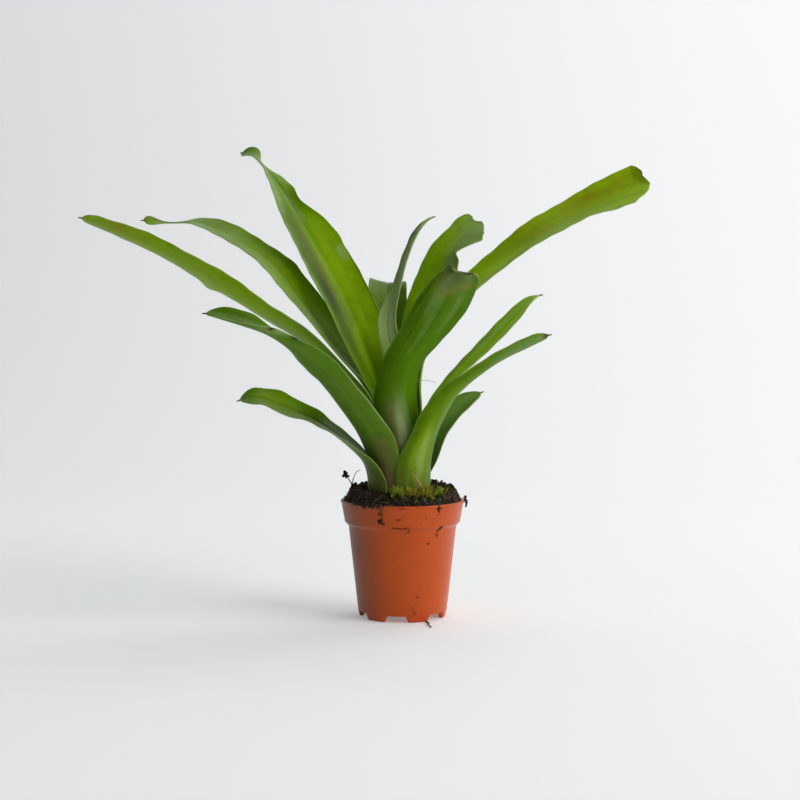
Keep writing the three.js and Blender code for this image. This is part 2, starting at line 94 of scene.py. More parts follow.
def spans(values: np.ndarray, share: np.ndarray) -> tuple[np.ndarray, ...]:
    """Finds the span between two rows of values in which each share lies.

    Args:
        values: the rows, which are mirrored once past both ends.
        share: places from 0 to 1, even in row count.

    Returns:
        For each share the two rows before it, the two after it, and its weight from 0 to 1 in the span.
    """
    padded = np.vstack([2 * values[0] - values[1], values, 2 * values[-1] - values[-2]])
    place = np.clip(share, 0, 1) * (len(values) - 1)
    index = np.minimum(place.astype(int), len(values) - 2)
    return *(padded[index + offset] for offset in range(4)), (place - index)[:, None]


def centripetal(points: np.ndarray, share: np.ndarray) -> np.ndarray:
    """Centripetal Catmull-Rom curve through points, open, with mirrored end points.

    Each span is a cubic Hermite whose end slopes weigh the neighbouring chords by the square root of
    their lengths.

    Args:
        points: the curve's points, one row each.
        share: places along the curve from 0 to 1, even in point count.

    Returns:
        One point for each share.
    """
    before, start, end, after, weight = spans(points, share)
    chords = ((before, start), (start, end), (end, after))
    first, middle, last = (np.sqrt(np.linalg.norm(b - a, axis=1))[:, None] for a, b in chords)
    slope_in = (start - before) / first - (end - before) / (first + middle) + (end - start) / middle
    slope_out = (end - start) / middle - (after - start) / (middle + last) + (after - end) / last
    return hermite(start, end, slope_in * middle, slope_out * middle, weight)


def uniform(values: np.ndarray, share: np.ndarray) -> np.ndarray:
    """Uniform Catmull-Rom spline through rows of values, with end slopes of half the neighbours' gap.

    Args:
        values: the rows that the spline passes through.
        share: places from 0 to 1, even in row count.

    Returns:
        One row of values for each share.
    """
    before, start, end, after, weight = spans(values, share)
    return hermite(start, end, (end - before) / 2, (after - start) / 2, weight)


def hermite(
    start: np.ndarray, end: np.ndarray, slope_in: np.ndarray, slope_out: np.ndarray, weight: np.ndarray
) -> np.ndarray:
    """Cubic Hermite between two rows: a + b w + c w² + d w³ that has the given slopes at its ends.

    Args:
        start: the row that it leaves.
        end: the row that it meets.
        slope_in: its slope at the start.
        slope_out: its slope at the end.
        weight: places from 0 to 1.

    Returns:
        One row for each weight.
    """
    square = -3 * start + 3 * end - 2 * slope_in - slope_out
    cube = 2 * start - 2 * end + slope_in + slope_out
    return start + slope_in * weight + square * weight**2 + cube * weight**3


def lumps(points: np.ndarray, size: float, seed: int, octaves: int = 3) -> np.ndarray:
    """Smooth irregular relief in space, roughly from -1 to 1.

    Each octave adds five plane sine waves in seeded directions; the waves halve in length and height
    from one octave to the next.

    Args:
        points: places in millimetres, in the last axis.
        size: length of the largest waves, in millimetres.
        seed: which relief.
        octaves: how many times the waves are halved.

    Returns:
        One height for each point.
    """
    random = np.random.default_rng(seed)
    total = np.zeros(points.shape[:-1])
    for octave in range(octaves):
        directions = unit(random.normal(size=(5, 3))) * (2 * math.pi / size * 2**octave)
        phases = random.uniform(0, 2 * math.pi, 5)
        total += np.sin(points @ directions.T + phases).mean(-1) * 1.6 * 0.5**octave
    return total


@dataclass
class Patch:
    """A surface: its points, its faces and what its points carry.

    Args:
        points: one row a point, in millimetres from the pot's axis.
        faces: arrays of corner numbers, one array for each number of corners.
        fields: one number for each point, by name.
        flat: two numbers for each point that lay patterns along the surface, in millimetres.
    """

    points: np.ndarray
    faces: list[np.ndarray]
    fields: dict[str, np.ndarray] = field(default_factory=dict)
    flat: np.ndarray | None = None

    @staticmethod
    def grid_faces(rows: int, columns: int, wrap: bool = False) -> np.ndarray:
        """Corner numbers of a grid's four-sided faces, listed row by row.

        Args:
            rows: points down the grid.
            columns: points across it.
            wrap: whether the last column joins the first.

        Returns:
            One row of four corners a face.
        """
        across = np.arange(columns if wrap else columns - 1)
        first = (np.arange(rows - 1)[:, None] * columns + across).ravel()
        step = np.tile(np.where(across + 1 < columns, across + 1, 0) - across, rows - 1)
        return np.stack([first, first + step, first + step + columns, first + columns], axis=1)

    @classmethod
    def joined(cls, patches: list["Patch"]) -> "Patch":
        """Joins patches into one, with the fields that the first one has.

        Args:
            patches: what is joined.

        Returns:
            One patch that holds them all side by side.
        """
        starts = np.cumsum([0] + [len(patch.points) for patch in patches])
        faces = [corners + start for patch, start in zip(patches, starts) for corners in patch.faces]
        names = patches[0].fields
        fields = {name: np.concatenate([patch.fields[name] for patch in patches]) for name in names}
        flat = None if patches[0].flat is None else np.concatenate([patch.flat for patch in patches])
        return cls(np.concatenate([patch.points for patch in patches]), faces, fields, flat)

    def build(self, name: str, material: bpy.types.Material, merge: float = 0.0) -> bpy.types.Object:
        """Writes the patch into a new object that rides on the plant's one body.

        Args:
            name: the object's name.
            material: its finish.
            merge: points closer than this are made one, in millimetres; 0 leaves all.

        Returns:
            The new object, at the origin, with its place in its mesh.
        """
        mesh = bpy.data.meshes.new(name)
        corners = np.concatenate([faces.ravel() for faces in self.faces]).astype(np.int32)
        sizes = np.concatenate([np.full(len(faces), faces.shape[1], np.int32) for faces in self.faces])
        starts = np.concatenate([[0], np.cumsum(sizes)[:-1]]).astype(np.int32)
        mesh.vertices.add(len(self.points))
        mesh.vertices.foreach_set("co", (self.points * MILLIMETRE + pot_axis()).astype(np.float32).ravel())
        mesh.loops.add(len(corners))
        mesh.loops.foreach_set("vertex_index", corners)
        mesh.polygons.add(len(sizes))
        mesh.polygons.foreach_set("loop_start", starts)
        mesh.polygons.foreach_set("loop_total", sizes)
        mesh.update(calc_edges=True)
        if self.flat is not None:
            layer = mesh.uv_layers.new(name="flat")
            layer.data.foreach_set("uv", self.flat[corners].astype(np.float32).ravel())
        for title, values in self.fields.items():
            attribute = mesh.attributes.new(title, "FLOAT", "POINT")
            attribute.data.foreach_set("value", values.astype(np.float32))
        mesh.polygons.foreach_set("use_smooth", np.ones(len(sizes), bool))
        mesh.materials.append(material)
        piece = bpy.data.objects.new(name, mesh)
        bpy.context.scene.collection.objects.link(piece)
        if merge:
            weld(piece, merge * MILLIMETRE)
        mesh.validate()
        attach(piece, "root")
        log.info("%s: %d points, %d faces", name, len(mesh.vertices), len(mesh.polygons))
        return piece


def weld(piece: bpy.types.Object, distance: float) -> None:
    """Makes points of a mesh that lie within the distance one, and turns all its faces outwards.

    Args:
        piece: the object whose mesh is welded.
        distance: in metres.
    """
    body = bmesh.new()
    body.from_mesh(piece.data)
    bmesh.ops.remove_doubles(body, verts=body.verts, dist=distance)
    bmesh.ops.recalc_face_normals(body, faces=body.faces)
    body.to_mesh(piece.data)
    body.free()


def tube(line: np.ndarray, radius: np.ndarray, sides: int, flatness: float = 1.0) -> Patch:
    """A closed tube along a line: a ring of points square to it at each place, and a tip at each end.

    Args:
        line: places along it, in millimetres.
        radius: one radius for each place.
        sides: points in a ring.
        flatness: the second half-axis of the ring as a share of the first.

    Returns:
        The tube, with the field share that runs from 0 at its start to 1 at its end.
    """
    tangent = unit(np.gradient(line, axis=0))
    steep = np.abs(tangent[:, 2:3]) > 0.9
    first = unit(np.cross(tangent, np.where(steep, [[1.0, 0, 0]], [[0, 0, 1.0]])))
    second = np.cross(tangent, first) * flatness
    angle = np.linspace(0, 2 * math.pi, sides, endpoint=False)
    ring = first[:, None] * np.cos(angle)[:, None] + second[:, None] * np.sin(angle)[:, None]
    body = (line[:, None] + ring * radius[:, None, None]).reshape(-1, 3)
    tip = tangent[[0, -1]] * radius[[0, -1], None] * 0.6
    ends = np.stack([line[0] - tip[0], line[-1] + tip[1]])
    count = len(line)
    here = np.arange(sides)
    after = (here + 1) % sides
    last = (count - 1) * sides
    start_fan = np.stack([np.full(sides, count * sides), after, here], axis=1)
    end_fan = np.stack([np.full(sides, count * sides + 1), last + here, last + after], axis=1)
    share = np.concatenate([np.repeat(np.linspace(0, 1, count), sides), [0.0, 1.0]])
    faces = [Patch.grid_faces(count, sides, wrap=True), start_fan, end_fan]
    return Patch(np.vstack([body, ends]), faces, {"share": share})


class Socket:
    """A value in a material's node tree. Arithmetic on it adds Math nodes."""

    def __init__(self, finish: "Shader", socket: bpy.types.NodeSocket) -> None:
        """Keeps the tree that the socket belongs to, and the socket."""
        self.finish = finish
        self.socket = socket

    def math(self, operation: str, other: "Socket | float") -> "Socket":
        """Returns the result of a Math node on this value and the other."""
        return self.finish.value("ShaderNodeMath", {"operation": operation}, {0: self, 1: other})

    def __add__(self, other: "Socket | float") -> "Socket":
        """Returns the sum."""
        return self.math("ADD", other)

    __radd__ = __add__

    def __sub__(self, other: "Socket | float") -> "Socket":
        """Returns the difference."""
        return self.math("SUBTRACT", other)

    def __rsub__(self, other: float) -> "Socket":
        """Returns a number less this value."""
        return (self * -1.0) + other

    def __mul__(self, other: "Socket | float") -> "Socket":
        """Returns the product."""
        return self.math("MULTIPLY", other)

    __rmul__ = __mul__

    def between(self, low: float, high: float) -> "Socket":
        """Returns a smooth rise from 0 at low to 1 at high."""
        inputs = {"Value": self, "From Min": low, "From Max": high, "To Min": 0.0, "To Max": 1.0}
        return self.finish.value("ShaderNodeMapRange", {"interpolation_type": "SMOOTHSTEP"}, inputs)


Colour = tuple[float, float, float]
Line = tuple[tuple[float, ...], ...]


class Shader:
    """A material with one principled shader, built node by node."""

    def __init__(self, name: str) -> None:
        """Makes an empty material with its shader and output.

        Args:
            name: of the material.
        """
        self.material = bpy.data.materials.new(name)
        self.material.use_nodes = True
        self.tree = self.material.node_tree
        self.principled = self.tree.nodes["Principled BSDF"]

    def node(self, kind: str, settings: dict | None = None, inputs: dict | None = None) -> bpy.types.Node:
        """Adds a node.

        Args:
            kind: the node's type.
            settings: its own settings, set first.
            inputs: value or link for its sockets, by name or number.

        Returns:
            The new node.
        """
        made = self.tree.nodes.new(kind)
        for key, value in (settings or {}).items():
            setattr(made, key, value)
        for key, value in (inputs or {}).items():
            self.feed(made.inputs[key], value)
        return made

    def feed(self, target: bpy.types.NodeSocket, value: "Socket | float | Colour") -> None:
        """Links a value to a socket, or sets the socket's own number or colour.

        Args:
            target: the socket.
            value: what goes into it.
        """
        if isinstance(value, Socket):
            self.tree.links.new(value.socket, target)
        elif isinstance(value, tuple) and target.type == "RGBA":
            target.default_value = (*value, 1.0)
        else:
            target.default_value = value

    def value(
        self, kind: str, settings: dict | None = None, inputs: dict | None = None, output: int | str = 0
    ) -> Socket:
        """Adds a node and returns one of its outputs."""
        return Socket(self, self.node(kind, settings, inputs).outputs[output])

    def place(self) -> Socket:
        """Returns the point's place in the object's own frame, in metres."""
        return self.value("ShaderNodeTexCoord", output="Object")

    def flat(self, across: float, along: float) -> Socket:
        """Returns the place on the surface itself in millimetres, times the factors across and along it."""
        vector = self.value("ShaderNodeUVMap", {"uv_map": "flat"})
        return self.value("ShaderNodeMapping", None, {"Vector": vector, "Scale": (across, along, 1.0)})

    def field(self, name: str) -> Socket:
        """Returns a number that the mesh's points carry."""
        return self.value("ShaderNodeAttribute", {"attribute_name": name}, output="Fac")

    def noise(self, vector: Socket, scale: float, detail: float = 3.0, roughness: float = 0.55) -> Socket:
        """Returns cloudy noise around 0.5."""
        inputs = {"Vector": vector, "Scale": scale, "Detail": detail, "Roughness": roughness}
        return self.value("ShaderNodeTexNoise", None, inputs)

    def cells(self, vector: Socket, scale: float) -> Socket:
        """Returns the distance to the nearest of scattered points, in cell widths."""
        return self.value("ShaderNodeTexVoronoi", None, {"Vector": vector, "Scale": scale})

    def mix(self, share: "Socket | float", first: "Socket | Colour", second: "Socket | Colour") -> Socket:
        """Turns one colour towards another.

        Args:
            share: 0 gives the first, 1 the second.
            first: a colour.
            second: the other colour.

        Returns:
            The mixed colour.
        """
        made = self.node("ShaderNodeMix", {"data_type": "RGBA"})
        self.feed(made.inputs[0], share)
        self.feed(made.inputs[6], first)
        self.feed(made.inputs[7], second)
        return Socket(self, made.outputs[2])

    def shade(self, colour: "Socket | Colour", factor: Socket) -> Socket:
        """Makes a colour darker or lighter.

        Args:
            colour: what is shaded.
            factor: what its three parts are multiplied by.

        Returns:
            The shaded colour.
        """
        grey = self.value("ShaderNodeCombineXYZ", None, {0: factor, 1: factor, 2: factor})
        if isinstance(colour, tuple):
            colour = self.value("ShaderNodeCombineXYZ", None, dict(enumerate(colour)))
        return self.value("ShaderNodeVectorMath", {"operation": "MULTIPLY"}, {0: colour, 1: grey})

    def set(self, **inputs: "Socket | float | Colour") -> None:
        """Feeds the principled shader's sockets, named with underscores for spaces."""
        for key, value in inputs.items():
            self.feed(self.principled.inputs[key.replace("_", " ")], value)

    def relief(self, height: Socket, depth: float, strength: float) -> None:
        """Gives the surface a bump: height from 0 to 1 stands for depth in millimetres."""
        inputs = {"Strength": strength, "Distance": depth * MILLIMETRE, "Height": height}
        self.feed(self.principled.inputs["Normal"], self.value("ShaderNodeBump", None, inputs))


@dataclass(frozen=True)
class LeafFinish:
    """Smooth fleshy leaf skin: veins along it, a grey waxy coat beneath, thin pale margins, and light and
    shade painted into its colour.

    Args:
        name: the material's name.
        cool: colour of shaded, mature skin.
        gold: colour of golden young skin, also painted where light shines through the leaf and on lit patches.
        bloom: colour of the waxy grey coat, also painted as sheen where the skin mirrors the bright room.
        blush: brown-pink of the sheaths near the soil.
        flush: olive-red of sunned skin.
        margin: colour of the thin, dry edge.
        brown: colour of dead spots.
        shine: colour of pale skin, also painted as highlights and as light on shaded parts.
        sheen: tint of the light that the skin mirrors.
        veins: scale of the veins across the leaf and along it, per millimetre.
        bands: scale of the broad bands of colour across the leaf and along it, per millimetre.
        clouds: scale of the large patches, per metre.
        mottle: scale of the small patches, per metre.
        grain: scale of the skin's grain, per metre.
    """

    name: str = "leaf_skin"
    cool: Colour = (0.055, 0.15, 0.002)
    gold: Colour = (0.38, 0.6, 0.001)
    bloom: Colour = (0.22, 0.33, 0.11)
    blush: Colour = (0.15, 0.125, 0.045)
    flush: Colour = (0.21, 0.165, 0.004)
    margin: Colour = (0.3, 0.36, 0.14)
    brown: Colour = (0.05, 0.022, 0.01)
    shine: Colour = (0.5, 0.6, 0.3)
    sheen: Colour = (0.8, 1.0, 0.2)
    veins: tuple[float, float] = (1 / 0.7, 0.02)
    bands: tuple[float, float] = (0.28, 0.008)
    clouds: float = 55.0
    mottle: float = 260.0
    grain: float = 1600.0

    def make(self) -> bpy.types.Material:
        """Builds the material.

        Veins and bands are noise drawn out along the leaf, and turn the cool colour towards the golden one,
        which also paints light shining through the leaf. Each of the leaf's fields then mixes in its own
        colour, some of them painted sheen, highlights and shade, and patches, veins and grain shade the
        result.

        Returns:
            The material.
        """
        shader = Shader(self.name)
        place = shader.place()
        veins = shader.noise(shader.flat(*self.veins), 1.0, 2.0)
        bands = shader.noise(shader.flat(*self.bands), 1.0, 1.0)
        cloud = shader.noise(place, self.clouds, 3.0)
        mottle = shader.noise(place, self.mottle, 3.0)
        grain = shader.noise(place, self.grain, 2.0)
        streaked = cloud * 0.5 + bands * 0.5
        # golden skin, and also a painted glow where light shines through the leaf
        colour = shader.mix(shader.field("gold") * 0.5 + (bands - 0.5) * 0.25, self.cool, self.gold)
        colour = shader.mix(shader.field("flush") * cloud.between(0.3, 0.7), colour, self.flush)
        # waxy grey coat, and also a painted sheen where the skin mirrors the bright room
        colour = shader.mix(shader.field("bloom") * (streaked + 0.5), colour, self.bloom)
        colour = shader.mix(shader.field("blush") * cloud.between(0.25, 0.75), colour, self.blush)
        # pale skin, also painted highlights and painted light on shaded parts
        colour = shader.mix(shader.field("pale"), colour, self.shine)
        patches = (cloud - 0.5) * 0.45 + (mottle - 0.5) * 0.4
        tone = (veins - 0.5) * 0.4 + patches + (grain - 0.5) * 0.25 + 1.0
        # painted shade: the dark field darkens the colour where the leaf lies in shadow
        colour = shader.shade(colour, tone * (1.0 - shader.field("dark") * 0.6))
        rim = 1.0 - shader.field("edge").between(0.05, 0.35)
        colour = shader.mix(rim * 0.5, colour, self.margin)
        colour = shader.mix(shader.field("brown"), colour, self.brown)
        shader.set(
            Base_Color=colour,
            Roughness=shader.field("under") * 0.1 + (cloud - 0.5) * 0.2 + 0.34,
            Subsurface_Weight=0.25,
            Subsurface_Radius=(1.0, 1.5, 0.2),
            Subsurface_Scale=0.001,
            Specular_IOR_Level=0.12,
            Specular_Tint=self.sheen,
        )
        shader.relief(veins * 0.8 + grain * 0.2, 0.12, 0.6)
        return shader.material


@dataclass(frozen=True)
class PotFinish:
    """Moulded orange plastic: a fine moulded grain, painted shade on its left side, specks and smears.

    Args:
        name: the material's name.
        colour: of the clean plastic.
        film: colour of the shade painted on the pot's left side.
        soil: colour of specks and smears.
        sheen: tint of the light that the plastic mirrors.
        clouds: scale of the painted shade's patches, per metre.
        grain: scale of the plastic's grain, per metre.
        specks: scale of the specks, per metre.
        speckled: scale of the patches that have specks, per metre.
    """

    name: str = "pot_plastic"
    colour: Colour = (0.5, 0.072, 0.011)
    film: Colour = (0.085, 0.05, 0.034)
    soil: Colour = (0.05, 0.026, 0.015)
    sheen: Colour = (1.0, 0.62, 0.38)
    clouds: float = 60.0
    grain: float = 1500.0
    specks: float = 420.0
    speckled: float = 90.0

    def make(self) -> bpy.types.Material:
        """Builds the material.

        The painted shade and the soiled parts follow their fields, and specks are dark cells where broad noise
        is high.

        Returns:
            The material.
        """
        shader = Shader(self.name)
        place = shader.place()
        cloud = shader.noise(place, self.clouds, 4.0)
        grain = shader.noise(place, self.grain, 3.0)
        specks = 1.0 - shader.cells(place, self.specks).between(0.06, 0.16)
        rare = shader.noise(place, self.speckled, 2.0).between(0.56, 0.66)
        # painted shade: the pot's left side, turned away from the window light, is darkened in its colour
        colour = shader.mix(shader.field("film") * (cloud + 0.5), self.colour, self.film)
        colour = shader.shade(colour, (grain - 0.5) * 0.25 + (cloud - 0.5) * 0.2 + 1.0)
        colour = shader.mix(specks * rare * 0.7, colour, self.soil)
        colour = shader.mix(shader.field("soiled") * cloud.between(0.3, 0.6), colour, self.soil)
        shader.set(
            Base_Color=colour,
            Roughness=(cloud - 0.5) * 0.2 + shader.field("film") * 0.15 + 0.32,
            Specular_IOR_Level=0.45,
            Specular_Tint=self.sheen,
        )
        shader.relief(grain, 0.09, 0.5)
        return shader.material


@dataclass(frozen=True)
class EarthFinish:
    """Damp peat: nearly black, with brown fibres and paler dry grains.

    Args:
        name: the material's name.
        dark: colour in its pores.
        light: colour of its grains.
        coarse: scale of its crumbs, per metre.
        fine: scale of its grains, per metre.
    """

    name: str = "peat"
    dark: Colour = (0.009, 0.006, 0.004)
    light: Colour = (0.06, 0.034, 0.02)
    coarse: float = 700.0
    fine: float = 3000.0

    def make(self) -> bpy.types.Material:
        """Builds the material: two scales of noise choose between pore and grain.

        Returns:
            The material.
        """
        shader = Shader(self.name)
        place = shader.place()
        coarse = shader.noise(place, self.coarse, 5.0, 0.7)
        fine = shader.noise(place, self.fine, 3.0, 0.6)
        colour = shader.mix((coarse * 0.7 + fine * 0.3).between(0.42, 0.66), self.dark, self.light)
        shader.set(Base_Color=colour, Roughness=0.95 - coarse * 0.2, Specular_IOR_Level=0.25)
        shader.relief(coarse * 0.6 + fine * 0.4, 0.4, 0.9)
        return shader.material


@dataclass(frozen=True)
class FibreFinish:
    """Thin vegetable stuff, such as roots, bark, stems and hair: a colour that varies along it.

    Args:
        name: the material's name.
        first: colour at its foot.
        second: colour at its tip.
        roughness: of its surface.
        grain: scale of its grain, per metre.
    """

    name: str
    first: Colour
    second: Colour
    roughness: float = 0.7
    grain: float = 1500.0

    def make(self) -> bpy.types.Material:
        """Builds the material: the field share, shifted by noise, leads from one colour to the other.

        Returns:
            The material.
        """
        shader = Shader(self.name)
        grain = shader.noise(shader.place(), self.grain, 3.0)
        share = (shader.field("share") + (grain - 0.5) * 0.6).between(0.0, 1.0)
        colour = shader.shade(shader.mix(share, self.first, self.second), grain * 0.5 + 0.75)
        shader.set(Base_Color=colour, Roughness=(grain - 0.5) * 0.2 + self.roughness, Specular_IOR_Level=0.3)
        shader.relief(grain, 0.08, 0.6)
        return shader.material


@dataclass(frozen=True)
class MossFinish:
    """Moss leaflets: green at the foot, yellow above, some sprigs rust.

    Args:
        name: the material's name.
        green: colour at a sprig's foot.
        yellow: colour at its tip.
        rust: colour of the sprigs that have turned.
        grain: scale of its grain, per metre.
    """

    name: str = "moss_leaflet"
    green: Colour = (0.05, 0.09, 0.006)
    yellow: Colour = (0.36, 0.42, 0.025)
    rust: Colour = (0.5, 0.2, 0.03)
    grain: float = 1800.0

    def make(self) -> bpy.types.Material:
        """Builds the material: the field share colours a sprig along its length, and rust as a whole.

        Returns:
            The material.
        """
        shader = Shader(self.name)
        grain = shader.noise(shader.place(), self.grain, 2.0)
        colour = shader.mix(shader.field("share").between(0.1, 0.8), self.green, self.yellow)
        colour = shader.mix(shader.field("rust").between(0.6, 0.9), colour, self.rust)
        colour = shader.shade(colour, grain * 0.8 + 0.6)
        shader.set(Base_Color=colour, Roughness=0.75, Specular_IOR_Level=0.25)
        shader.relief(grain, 0.1, 0.5)
        return shader.material


@dataclass(frozen=True)
class Sheath:
    """The clasping foot of a leaf.

    Args:
        angle: compass angle of its middle, in degrees.
        foot: half of the angle that it clasps at its foot, in degrees.
        top: the same at its top.
        height: of its top, in millimetres.
    """

    angle: float
    foot: float
    top: float
    height: float


class Tint(Enum):
    """The field that a mark on a leaf adds to. DARK marks paint shade; PALE, GOLD and BLOOM marks also paint
    highlights, light shining through and sheen.
    """

    PALE = "pale"
    DARK = "dark"
    BROWN = "brown"
    FLUSH = "flush"
    GOLD = "gold"
    BLOOM = "bloom"
    BLUSH = "blush"


@dataclass(frozen=True)
class Mark:
    """A soft-edged patch of tint on a leaf.

    Args:
        tint: what it changes.
        along: its middle as a share of the leaf's length.
        across: its middle from -1 at one margin to 1 at the other.
        length: its half-length along the leaf, in millimetres.
        breadth: its half-breadth across the leaf, in half-widths of the leaf.
        amount: how strong it is.
    """

    tint: Tint
    along: float
    across: float
    length: float
    breadth: float
    amount: float


# What makes a mark of each tint.
pale, dark, brown, flush, gold, bloom, blush = (partial(Mark, tint) for tint in Tint)


@dataclass(frozen=True)
class Tone:
    """Colouring of one leaf.

    Args:
        gold: how golden it is, with light shining through it painted in, from 0 to 2.
        bloom: how much waxy grey coat, with painted sheen, lies on its lower side, from 0 to 1.
        flush: how far it reddens towards its end, from 0 to 1.
        marks: its patches, among them painted shade, highlights, glow and sheen.
    """

    gold: float = 0.3
    bloom: float = 0.3
    flush: float = 0.0
    marks: tuple[Mark, ...] = ()


@dataclass(frozen=True)
class Relief:
    """Form of one leaf beyond its section.

    Args:
        keel: depth of the channel along its middle, in millimetres.
        swells: (share along, side, height in millimetres, length as a share) of bulges of a margin.
        crest: (place across from -1 to 1, depth in millimetres) of a torn end; empty for a rounded one.
    """

    keel: float = 0.35
    swells: tuple[tuple[float, int, float, float], ...] = ()
    crest: tuple[tuple[float, float], ...] = ()


@dataclass(frozen=True)
class Leaf:
    """A leaf: a sheath that clasps the rosette and runs on into a channelled blade with a short point.

    Args:
        name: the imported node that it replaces.
        ring: which ring its sheath stands in, from the outermost.
        tip: length of its rounded end.
        ripple: height of its margins' waves, and their number along the leaf.
        sheath: its foot.
        blade: x, y, z of the middle line, then width, bend and roll in degrees.
        tone: its colouring.
        relief: its finer form.
    """

    name: str
    ring: int
    tip: float
    ripple: tuple[float, int]
    sheath: Sheath
    blade: Line
    tone: Tone = Tone()
    relief: Relief = Relief()


@dataclass(frozen=True)
class Spine:
    """A leaf's middle line in fine steps: distance, place, side and upward directions, width and bend."""

    distance: np.ndarray
    place: np.ndarray
    side: np.ndarray
    up: np.ndarray
    width: np.ndarray
    bend: np.ndarray

    def read(self, values: np.ndarray, distance: np.ndarray) -> np.ndarray:
        """Reads one of the spine's arrays between its steps, in straight lines.

        Args:
            values: the array, one row or number a step.
            distance: places along the leaf, of any shape.

        Returns:
            The values there.
        """
        columns = values.reshape(len(values), -1).T
        found = np.stack([np.interp(distance, self.distance, column) for column in columns], axis=-1)
        return found if values.ndim > 1 else found[..., 0]


@dataclass
class Rosette:
    """The whorl of leaves, with the short stem that carries them.

    Args:
        axis_x: place of the rosette's axis across the pot.
        foot: height of the sheaths' feet.
        outer_ring: radius of the outermost sheath.
        ring_pitch: how much less each next ring has.
        flare: how fast a sheath widens above flare_start, per millimetre of height.
        flare_start: the height at which it starts to widen.
        sheath_step: height between a sheath's stations.
        point_length: length of a leaf's hard point.
        point_overlap: how far the point starts inside the leaf.
        point_radius: its radius at its foot and at its end.
        point_bend: how far its end bends down.
        keel_breadth: half-breadth of the channel along a leaf, in half-widths of the leaf.
        blush_reach: distances from the foot between which the sheath's blush fades.
        blush_amount: how strong it is at the foot.
        dry_end: strength of the brown at a leaf's end, and its length as a share of the leaf.
        thickness: of a leaf at its middle.
        margin_thickness: of a leaf at its margins.
        ripple_phase: how far the waves of one margin run behind the other's, in radians.
        fine_ripple: height of the margins' fine waves, and their length divided by 2 pi.
        stations: fine steps in a leaf's middle line.
        row_step: length of the skin's faces.
        columns: faces across the skin.
        flat_half_width: half of a leaf's breadth in its pattern's coordinates.
        skin: the leaves' finish.
    """

    axis_x: float = -1.5
    foot: float = 47.0
    outer_ring: float = 13.6
    ring_pitch: float = 1.3
    flare: float = 0.04
    flare_start: float = 58.0
    sheath_step: float = 10.0
    point_length: float = 1.6
    point_overlap: float = 0.8
    point_radius: tuple[float, float] = (0.55, 0.2)
    point_bend: float = 0.5
    keel_breadth: float = 0.12
    blush_reach: tuple[float, float] = (12.0, 42.0)
    blush_amount: float = 0.8
    dry_end: tuple[float, float] = (0.9, 0.008)
    thickness: float = 0.85
    margin_thickness: float = 0.5
    ripple_phase: float = 1.9
    fine_ripple: tuple[float, float] = (0.14, 1.7)
    stations: int = 420
    row_step: float = 1.0
    columns: int = 40
    flat_half_width: float = 10.0
    skin: LeafFinish = LeafFinish()

    def spine(self, leaf: Leaf) -> Spine:
        """Works out a leaf's middle line.

        The sheath's stations stand evenly up a vase that widens alike for every leaf, and the blade's
        follow. A centripetal spline joins them, and their normal is carried along without twist.

        Args:
            leaf: the leaf's plan.

        Returns:
            Its spine, in millimetres.
        """
        sheath = leaf.sheath
        steps = round((sheath.height - self.foot) / self.sheath_step)
        share = np.linspace(0, 1, steps + 1)
        level = lerp(self.foot, sheath.height, share)
        radius = self.outer_ring - leaf.ring * self.ring_pitch
        radius = radius + self.flare * np.maximum(level - self.flare_start, 0)
        half = np.radians(lerp(sheath.foot, sheath.top, share))
        angle = math.radians(sheath.angle)
        clasped = np.stack([self.axis_x + radius * math.cos(angle), radius * math.sin(angle), level], axis=1)
        forms = np.stack([2 * half * radius, np.degrees(2 * half), np.zeros(steps + 1)], axis=1)
        blade = np.array(leaf.blade)
        points = np.vstack([clasped, blade[:, :3]])
        forms = np.vstack([forms, blade[:, 3:]])
        even = np.linspace(0, 1, 601)
        coarse = centripetal(points, even)
        travelled = np.concatenate([[0], np.cumsum(np.linalg.norm(np.diff(coarse, axis=0), axis=1))])
        distance = np.linspace(0, travelled[-1], self.stations)
        time = np.interp(distance, travelled, even)
        place = centripetal(points, time)
        width, bend, roll = uniform(forms, time).T
        tangent = unit(np.gradient(place, distance, axis=0))
        normal = self.carried(place, tangent, np.array([-math.cos(angle), -math.sin(angle), 0.0]))
        across = np.cross(tangent, normal)
        turn = np.radians(roll)[:, None]
        up = normal * np.cos(turn) + across * np.sin(turn)
        freedom = smoothstep(time * (len(points) - 1) - steps, 0, 1)
        clasp = width / np.hypot(place[:, 0] - self.axis_x, place[:, 1])
        bend = lerp(clasp, np.radians(np.maximum(bend, 1)), freedom)
        return Spine(distance, place, np.cross(tangent, up), up, width, bend)

    @staticmethod
    def carried(place: np.ndarray, tangent: np.ndarray, start: np.ndarray) -> np.ndarray:
        """Carries a normal along a line without twist, by double reflection.

        Each step mirrors it in the plane square to the step, and then in the one that turns the mirrored
        tangent into the next.

        Args:
            place: the line's places.
            tangent: its directions.
            start: about where the first normal points.

        Returns:
            One normal for each place.
        """
        normals = [start - tangent[0] * (start @ tangent[0])]
        for index in range(len(place) - 1):
            step = place[index + 1] - place[index]
            scale = 2 / (step @ step)
            normal = normals[-1] - scale * (step @ normals[-1]) * step
            gap = tangent[index + 1] - (tangent[index] - scale * (step @ tangent[index]) * step)
            size = gap @ gap
            normals.append(normal - 2 / size * (gap @ normal) * gap if size > 1e-12 else normal)
        return unit(np.array(normals))

